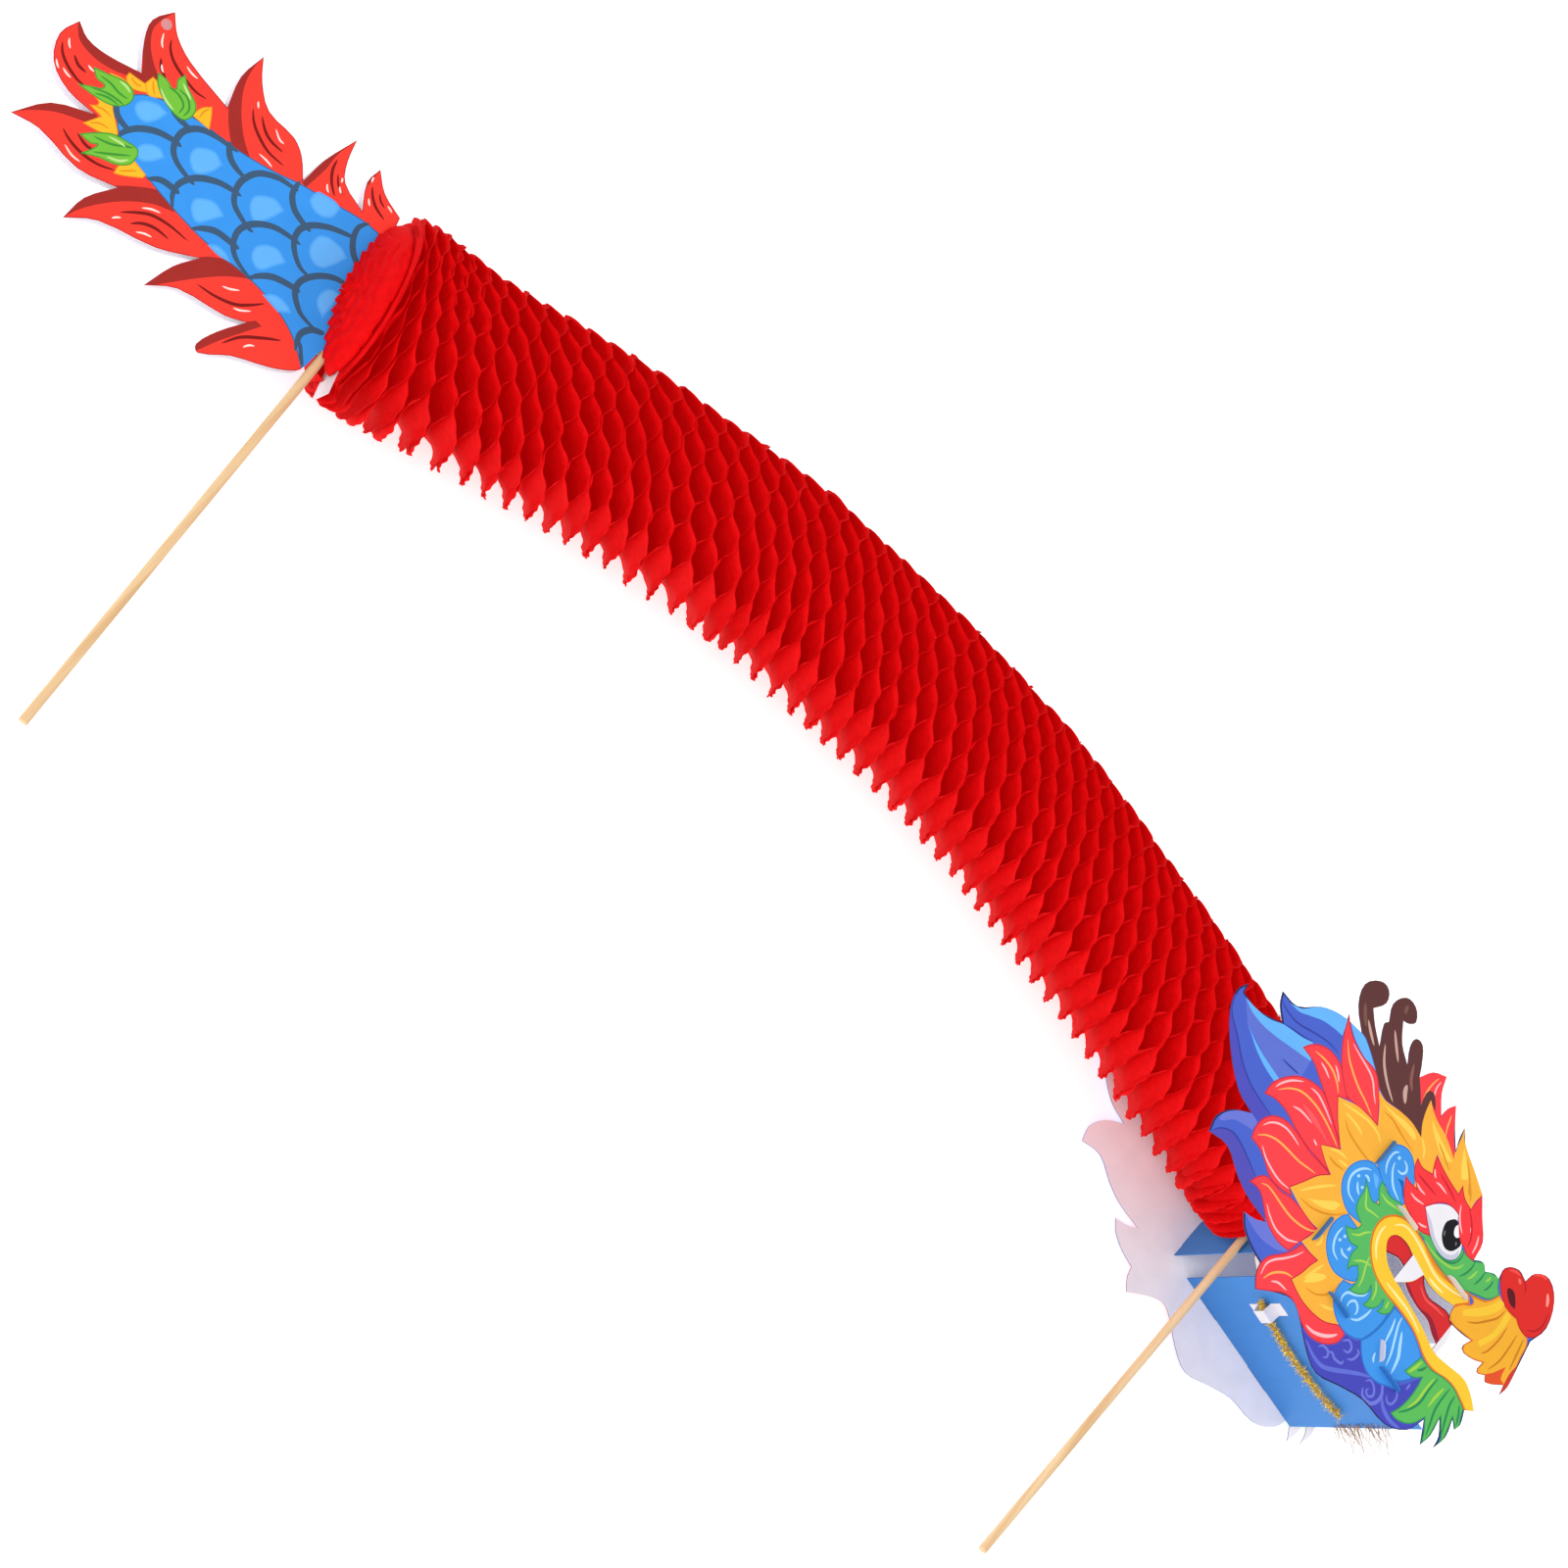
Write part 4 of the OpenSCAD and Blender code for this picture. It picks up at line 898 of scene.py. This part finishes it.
# ---------------------------------------------------------------------------------------------------
# Body: more than a hundred round sheets of red tissue, glued to each other along parallel lines that
# run across the puppet. Each sheet is glued to the next one on every second line and to the one
# before it on the others, so that the pulled-out stack opens into diamond-shaped cells.
tissue_r = 49.5
tissue_t = 0.1
sheet_count = 114
sheet_gap = 0.2                  # left between two glued sheets
glue_step = 0.27 * tissue_r      # from one glue line to the next
glue_start = 0.16 * tissue_r
glue_turn = math.radians(-3)     # of the lines, from straight across
glue_flat = 1.35                 # how far past its crest the wave is drawn before it is cut flat
slant_angle = math.radians(20)   # of the sheets, away from both ends
slant_run = 75                   # from either end to where it is full
end_swell = 0.07                 # how much wider the last sheets are
rim_curls = ((5, 0.4), (9, 0.35), (14, 0.25), (33, 0.45))     # waves round the rim, and their heights
rim_rows, rim_columns = 81, 13
rng = np.random.default_rng(7)

neck_low, neck_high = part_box("neck_disc")
mid_z = (neck_low.z + neck_high.z) / 2 / MM


def grid_faces(rows, columns, start=0):
    """Quads of a grid of points, row by row from a start number."""
    i, j = np.meshgrid(np.arange(rows - 1), np.arange(columns - 1), indexing="ij")
    corner = start + i * columns + j
    return np.stack([corner, corner + 1, corner + columns + 1, corner + columns], -1).reshape(-1, 4)


def centre_line():
    """The body's centre line, sampled a hundred times between its knots, and its length so far.

    It runs through the neck disc, every joint and the tail disc on Hermite cubics, whose slopes are
    half the step from the knot before to the knot after. A sliding joint has no place of its own,
    so it lies halfway between its neighbours, and the last block's own run gives the line's end.
    """
    knots = [np.array([(neck_low.x + neck_high.x) / 2, (neck_low.y + neck_high.y) / 2]) / MM]
    knots += [np.array(j["pos_m"][:2]) / MM if "pos_m" in j else None for j in frame["joints"]]
    end_low, end_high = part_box("honeycomb_14")
    middle = np.array([(end_low.x + end_high.x) / 2, (end_low.y + end_high.y) / 2]) / MM
    ahead = (middle - knots[-1]) / np.linalg.norm(middle - knots[-1])
    knots.append(knots[-1] + ahead * np.linalg.norm(knots[-1] - knots[-2]))
    for k, knot in enumerate(knots):
        if knot is None:
            knots[k] = (knots[k - 1] + knots[k + 1]) / 2
    knots = np.array(knots)
    slopes = np.gradient(knots, axis=0)
    runs = hermite(knots[:-1], slopes[:-1], knots[1:], slopes[1:], 100).reshape(-1, 2)
    line = np.vstack([runs, knots[-1:]])
    travel = np.concatenate([[0], np.cumsum(np.linalg.norm(np.diff(line, axis=0), axis=1))])
    return line, travel, travel[::100]


line, travel, joint_marks = centre_line()
body_length = travel[-1]
way = np.gradient(line, travel, axis=0)
way /= np.linalg.norm(way, axis=1)[:, None]


def on_body(along, up, across):
    """Points in the row frame from the way along the centre line, up from it and across it."""
    x, y = (np.interp(along, travel, line[:, k]) for k in range(2))
    dx, dy = (np.interp(along, travel, way[:, k]) for k in range(2))
    return np.stack(np.broadcast_arrays(x + dy * up, y - dx * up, mid_z + across), -1)


def sheet_places():
    """How far along the centre line each sheet lies.

    The sheets share out the integral of a crowding: 1 along the body, more by a bell curve at
    each glued end, with a slow ripple of a few hundredths.
    """
    s = np.linspace(0, body_length, 2001)
    crowd = 1 + 1.5 * np.exp(-((s / 12) ** 2)) + 2.2 * np.exp(-(((body_length - s) / 16) ** 2))
    crowd *= 1 + 0.05 * np.sin(s / 31) + 0.04 * np.sin(s / 12.3 + 1)
    total = np.concatenate([[0], np.cumsum((crowd[1:] + crowd[:-1]) / 2)])
    return np.interp(np.linspace(0.004, 0.996, sheet_count) * total[-1], total, s)


places = sheet_places()
gaps = np.diff(places, prepend=places[0] - 3, append=places[-1] + 3)


def tissue_sheets(numbers):
    """Points and faces of some of the sheets.

    A sheet is a disc on a grid of rows along the glue lines. A row at height h is pushed along the
    body by a wave of h: up to half the gap to the next sheet on its own glue lines, back by half the
    gap to the sheet before on the lines between, with the crests cut flat where the glue is. To this
    come the curl of the free rim, the lean of the last pages and the slant of the whole sheet.
    """
    n = np.asarray(numbers)[:, None, None]
    to_end = body_length - places[n]
    t = np.linspace(-0.485, 0.485, rim_rows)[None, :, None] * math.pi
    c = np.linspace(-1, 1, rim_columns)[None, None, :]
    from_end = np.minimum(places[n] / 9, to_end / 13).clip(0, 1)
    swell = 1 + end_swell * np.exp(-(((to_end - 22) / 20) ** 2))
    radius = tissue_r * swell * (0.9 + 0.1 * np.sqrt(1 - (1 - from_end) ** 2))
    radius = radius * (1 + 0.01 * rng.standard_normal(n.shape))
    h, g = np.broadcast_arrays(radius * np.sin(t), radius * np.cos(t) * c)
    # under the belly the glue lines bend round with the rim, so that the pages stay in pairs there
    under = np.where(g < 0, ((-h / radius - 0.2) / 0.4).clip(0, 1), 0)
    level = h * (1 - under) - np.sqrt(h**2 + (0.9 * g) ** 2) * under
    phase = (level - glue_start) / glue_step
    zigzag = 4 * np.abs((phase / 2 + 0.5) % 1 - 0.5) - 1
    wave = -np.sin(math.pi / 2 * (glue_flat * zigzag).clip(-1, 1)) * np.where(n % 2, -1, 1)
    ahead, behind = gaps[n + 1] - sheet_gap, gaps[n] - sheet_gap
    push = np.where(wave > 0, wave * ahead / 2, wave * behind / 2)
    # the free rim curls a little, differently on each sheet
    share = np.sqrt(h**2 + g**2) / radius
    bearing = np.arctan2(g, h)
    starts = rng.uniform(0, 6.28, (len(rim_curls), len(numbers), 1, 1))
    curl = sum(height * np.sin(waves * bearing + start)
               for (waves, height), start in zip(rim_curls, starts))
    push = push + curl * share.clip(0, 1) ** 8 * (gaps[n + 1] / 6).clip(0, 1)
    # the last pages lean over the tail disc, but for a slot round the tail card
    lean = 8 * np.exp(-((to_end / 12) ** 2))
    push = push + lean * ((share - 0.7) / 0.3).clip(0, 1) ** 1.3 * ((np.abs(g) - 4) / 12).clip(0, 1)
    # away from both ends the sheets lie at a slant, the belly's side towards the head
    slant = (np.minimum(places[n], to_end) / slant_run).clip(0, 1)
    slant = math.tan(slant_angle) * np.sin(math.pi / 2 * slant) ** 1.5
    push = push + slant * (0.85 * h + 0.5 * g + 0.65 * np.minimum(g, 0) * under)
    up = h * math.cos(glue_turn) + g * math.sin(glue_turn)
    across = g * math.cos(glue_turn) - h * math.sin(glue_turn)
    points = on_body(places[n] + push, up, across).reshape(-1, 3)
    size = rim_rows * rim_columns
    faces = np.concatenate([grid_faces(rim_rows, rim_columns, k * size) for k in range(len(numbers))])
    return points, faces.tolist()


def thicken(sheet):
    """Gives a surface the thickness of tissue."""
    thick = sheet.modifiers.new("thickness", "SOLIDIFY")
    thick.thickness = tissue_t * MM
    thick.offset = 0


# The tissue glows faintly in dark red: a painted glow that stands in for light shining through the thin
# sheets.
glowing_tissue_paper, place, shader = finish_of("glowing_tissue_paper", 0.8, Specular_IOR_Level=0.1,
                                        Emission_Color=(*ink(190, 0, 4), 1), Emission_Strength=0.22)
mottle = noise(place, 260, 3).between(0.3, 0.7)
drive(shader, Base_Color=mottle.mix(ink(202, 2, 6), ink(218, 6, 10)),
      Normal=bump(noise(place, 900, 4, (1, 1, 0.4)), 0.00025, 0.5))

# a piece of the stack runs from the middle of one block to the middle of the next, over their joint
bodies = ["head"] + [f"body_{k:02d}" for k in range(2, 14)] + ["tail"]
block_marks = (joint_marks[1:] + joint_marks[:-1]) / 2
cuts = np.concatenate([[-1], block_marks, [body_length + 1]])
for k in range(15):
    numbers = np.nonzero((places >= cuts[k]) & (places < cuts[k + 1]))[0]
    tissue = piece(f"tissue_{k + 1:02d}", *tissue_sheets(numbers), glowing_tissue_paper, smooth=True)
    thicken(tissue)
    if k in (0, 14):
        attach(tissue, bodies[min(k, 13)])
    else:
        start, end = on_body(block_marks[k - 1:k + 1], 0.0, 0.0) * MM
        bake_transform(tissue)
    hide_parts(f"honeycomb_{min(k + 1, 14):02d}")

# ---------------------------------------------------------------------------------------------------
# End pages: inside their rims the last sheets close the body as half a dome on each side of the tail
# card, glued to the tail disc.
dome_r, dome_height, dome_gap = 0.87 * tissue_r, 13, 3.7
dome_pages, page_height = 6, 2.6
dome_rows, dome_columns = 121, 91


def end_pages(turn):
    """Points of the half dome on one side of the tail card, turn 1 for the upper and -1 for the lower.

    Its height is dome_height times the root of one less the square of the share of the radius,
    and each page stands up at its rim and falls away inwards by up to page_height.
    """
    share = np.linspace(1, 0.02, dome_rows)[:, None]
    bearing = np.linspace(0, math.pi, dome_columns)[None, :]
    ripple = 0.25 * np.sin(5 * bearing + 4 * share) + 0.16 * np.sin(12 * bearing + 3)
    page = (dome_pages * (1 - share) + ripple) % 1
    step = page_height * (0.6 - page) * (1.15 - share) ** 0.4
    height = np.maximum(dome_height * np.sqrt(1 - share**2) + 1.1 + step, 1.0)
    up = dome_r * share * np.cos(bearing) * turn
    across = turn * (dome_gap + dome_r * share * np.sin(bearing) * (1 - dome_gap / dome_r))
    x, y = line[-1]
    dx, dy = way[-1]
    return np.stack([x + dx * height + dy * up, y + dy * height - dx * up, mid_z + across], -1)


for side, turn in (("upper", 1), ("lower", -1)):
    faces = grid_faces(dome_rows, dome_columns)[:, ::-1].tolist()
    dome = piece(f"tissue_end_{side}", end_pages(turn), faces, glowing_tissue_paper, smooth=True)
    thicken(dome)
    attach(dome, "tail")
    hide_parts("honeycomb_14")

# ---------------------------------------------------------------------------------------------------
# Tinsel: narrow gold foil strips, twisted into a bent wire so that they stand out all round it. It is
# taped to the underside of the throat floor.
floor_zero, floor_lean = np.array([13.5, -10.0]), math.radians(-1.9)      # on the head panels' axes
floor_t = 0.5
wire_at, wire_r, wire_depth, wire_bend = 56.0, 142.0, 2.9, 17
foil_count, foil_width = 1500, 0.6
rng = np.random.default_rng(11)


def under_floor(along, down, z):
    """Points in the row frame from the way along the throat floor, down from it, and their height."""
    spot = np.stack(np.broadcast_arrays(along, down - floor_t / 2), -1)
    for zero, lean in ((floor_zero, floor_lean), (head_zero, head_lean)):
        cos, sin = math.cos(lean), math.sin(lean)
        spot = spot @ np.array([[cos, sin], [-sin, cos]]) + zero
    return np.column_stack([spot, np.broadcast_to(z, len(spot))])


def strips(roots, aims, lengths, width, droop, wander):
    """Points and faces of narrow bent strips, each a row of six cross lines from its root.

    A strip leaves along its aim, falls by droop times the square of the share of its length,
    wanders sideways by a random vector times the same square, and tapers to 0.3 of its width.
    """
    count, steps = len(roots), 6
    t = np.linspace(0, 1, steps)[None, :, None]
    aims = aims / np.linalg.norm(aims, axis=1)[:, None]
    middle = (roots[:, None] + aims[:, None] * lengths[:, None, None] * t
              + (droop + wander[:, None]) * lengths[:, None, None] * t**2)
    aside = np.cross(aims, rng.standard_normal((count, 3)))
    aside /= np.linalg.norm(aside, axis=1)[:, None]
    half = aside[:, None] * width / 2 * (1 - 0.7 * t)
    points = np.stack([middle - half, middle + half], 2).reshape(-1, 3)
    faces = np.concatenate([grid_faces(steps, 2, k * 2 * steps) for k in range(count)])
    return points, faces.tolist()


floor_way = np.diff(under_floor(np.array([0.0, 1.0]), 0.0, 0.0), axis=0)[0]
upwards = np.array([0, 0, 1.0])
bow = np.radians(rng.uniform(-wire_bend, wire_bend, foil_count))
roots = under_floor(wire_at + wire_r * np.sin(bow), -wire_depth, mid_z - 7 + wire_r * (1 - np.cos(bow)))
wire_way = floor_way * np.cos(bow)[:, None] + upwards * np.sin(bow)[:, None]
turn = rng.uniform(0, 2 * math.pi, foil_count)
side_a = np.cross(wire_way, upwards)
side_b = np.cross(wire_way, side_a)
aims = (np.cos(turn)[:, None] * side_a + np.sin(turn)[:, None] * side_b
        + wire_way * rng.normal(0.1, 0.4, (foil_count, 1)))
# The foil glows faintly in gold, a painted glow. Its colour is patched at random between dark and pale
# gold as painted glints of reflected light.
glinting_gold_foil, place, shader = finish_of("glinting_gold_foil", 0.3, Metallic=0.45,
                                     Emission_Color=(*ink(214, 160, 24), 1), Emission_Strength=0.15)
glint = noise(place, 900, 2)
drive(shader, Base_Color=glint.between(0.35, 0.65).mix(ink(150, 104, 12), ink(255, 236, 116)))
foils = strips(roots, aims, rng.uniform(1.6, 3.6, foil_count), foil_width, np.array([0, 0, -0.1]),
               rng.normal(0, 0.2, (foil_count, 3)))
tinsel = piece("tinsel", *foils, glinting_gold_foil)
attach(tinsel, "head")
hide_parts("tinsel_stem")

# ---------------------------------------------------------------------------------------------------
# Fringe: a thin row of coarse straw fibres, glued to the front edge of the throat floor for a beard.
fibre_count, fibre_width = 80, 0.42
roots = under_floor(rng.uniform(104, 108, fibre_count), -0.3, mid_z + rng.uniform(-16, 32, fibre_count))
down = np.array([floor_way[1], -floor_way[0], 0])
aims = (floor_way + down * rng.uniform(-0.05, 0.5, (fibre_count, 1))
        + upwards * rng.normal(0, 0.35, (fibre_count, 1)))
straw, place, shader = finish_of("straw", 0.7, Specular_IOR_Level=0.3)
drive(shader, Base_Color=noise(place, 500, 2).between(0.3, 0.7).mix(ink(120, 84, 62), ink(190, 156, 124)))
fibres = strips(roots, aims, rng.uniform(10, 19, fibre_count), fibre_width, down * 0.15,
                rng.normal(0, 0.25, (fibre_count, 3)))
fringe = piece("fringe", *fibres, straw)
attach(fringe, "head")
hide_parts("chin_fringe")

# ---------------------------------------------------------------------------------------------------
# Studio: a pale floor under the puppet and large soft lights.
floor_reach = 6000
floor_material, place, shader = finish_of("studio_floor", 0.9, Specular_IOR_Level=0.1,
                                          Emission_Color=(1, 1, 1, 1), Emission_Strength=0.5)
drive(shader, Base_Color=noise(place, 3).mix(ink(240, 240, 240), ink(246, 246, 246)))
corners = [(-floor_reach, -floor_reach, 0), (floor_reach, -floor_reach, 0), (floor_reach, floor_reach, 0),
           (-floor_reach, floor_reach, 0)]
floor = piece("floor", corners, [(0, 1, 2, 3)], floor_material)

world = bpy.data.worlds.new("studio")
world.use_nodes = True
world.node_tree.nodes["Background"].inputs[0].default_value = (1, 1, 1, 1)
world.node_tree.nodes["Background"].inputs[1].default_value = 0.7
bpy.context.scene.world = world
look_at = Vector((-4.6, 51.2, 60.0)) * MM


def lamp(name, at, size, power):
    """A square area lamp, in metres and watts, that faces the puppet's middle."""
    data = bpy.data.lights.new(name, "AREA")
    data.size = size
    data.energy = power
    made = bpy.data.objects.new(name, data)
    made.location = at
    made.rotation_mode = "QUATERNION"
    made.rotation_quaternion = (look_at - Vector(at)).to_track_quat("-Z", "Y")
    bpy.context.scene.collection.objects.link(made)


lamp("key", (-1.2, -1.6, 2.4), 1.6, 45)
lamp("fill", (1.6, 1.4, 2.2), 2.0, 12)
bpy.context.scene.view_settings.view_transform = "Standard"

# ---------------------------------------------------------------------------------------------------
# Camera: a long lens that looks down on the puppet's right side from in front of its feet, rolled so
# that the body runs from the upper left to the lower right.
view_distance = 2000 * MM
view_azimuth, view_elevation, view_roll = (math.radians(a) for a in (-32.29, 57.0, 76.95))
away = Vector((
    math.sin(view_azimuth) * math.cos(view_elevation),
    -math.cos(view_azimuth) * math.cos(view_elevation),
    math.sin(view_elevation),
))
camera_data = bpy.data.cameras.new("camera")
camera_data.lens = 90
camera_data.sensor_width = 36
camera = bpy.data.objects.new("camera", camera_data)
camera.matrix_world = Matrix.Translation(look_at + away * view_distance) @ (
    Quaternion(away, view_roll) @ (-away).to_track_quat("-Z", "Y")).to_matrix().to_4x4()
bpy.context.scene.collection.objects.link(camera)
bpy.context.scene.camera = camera
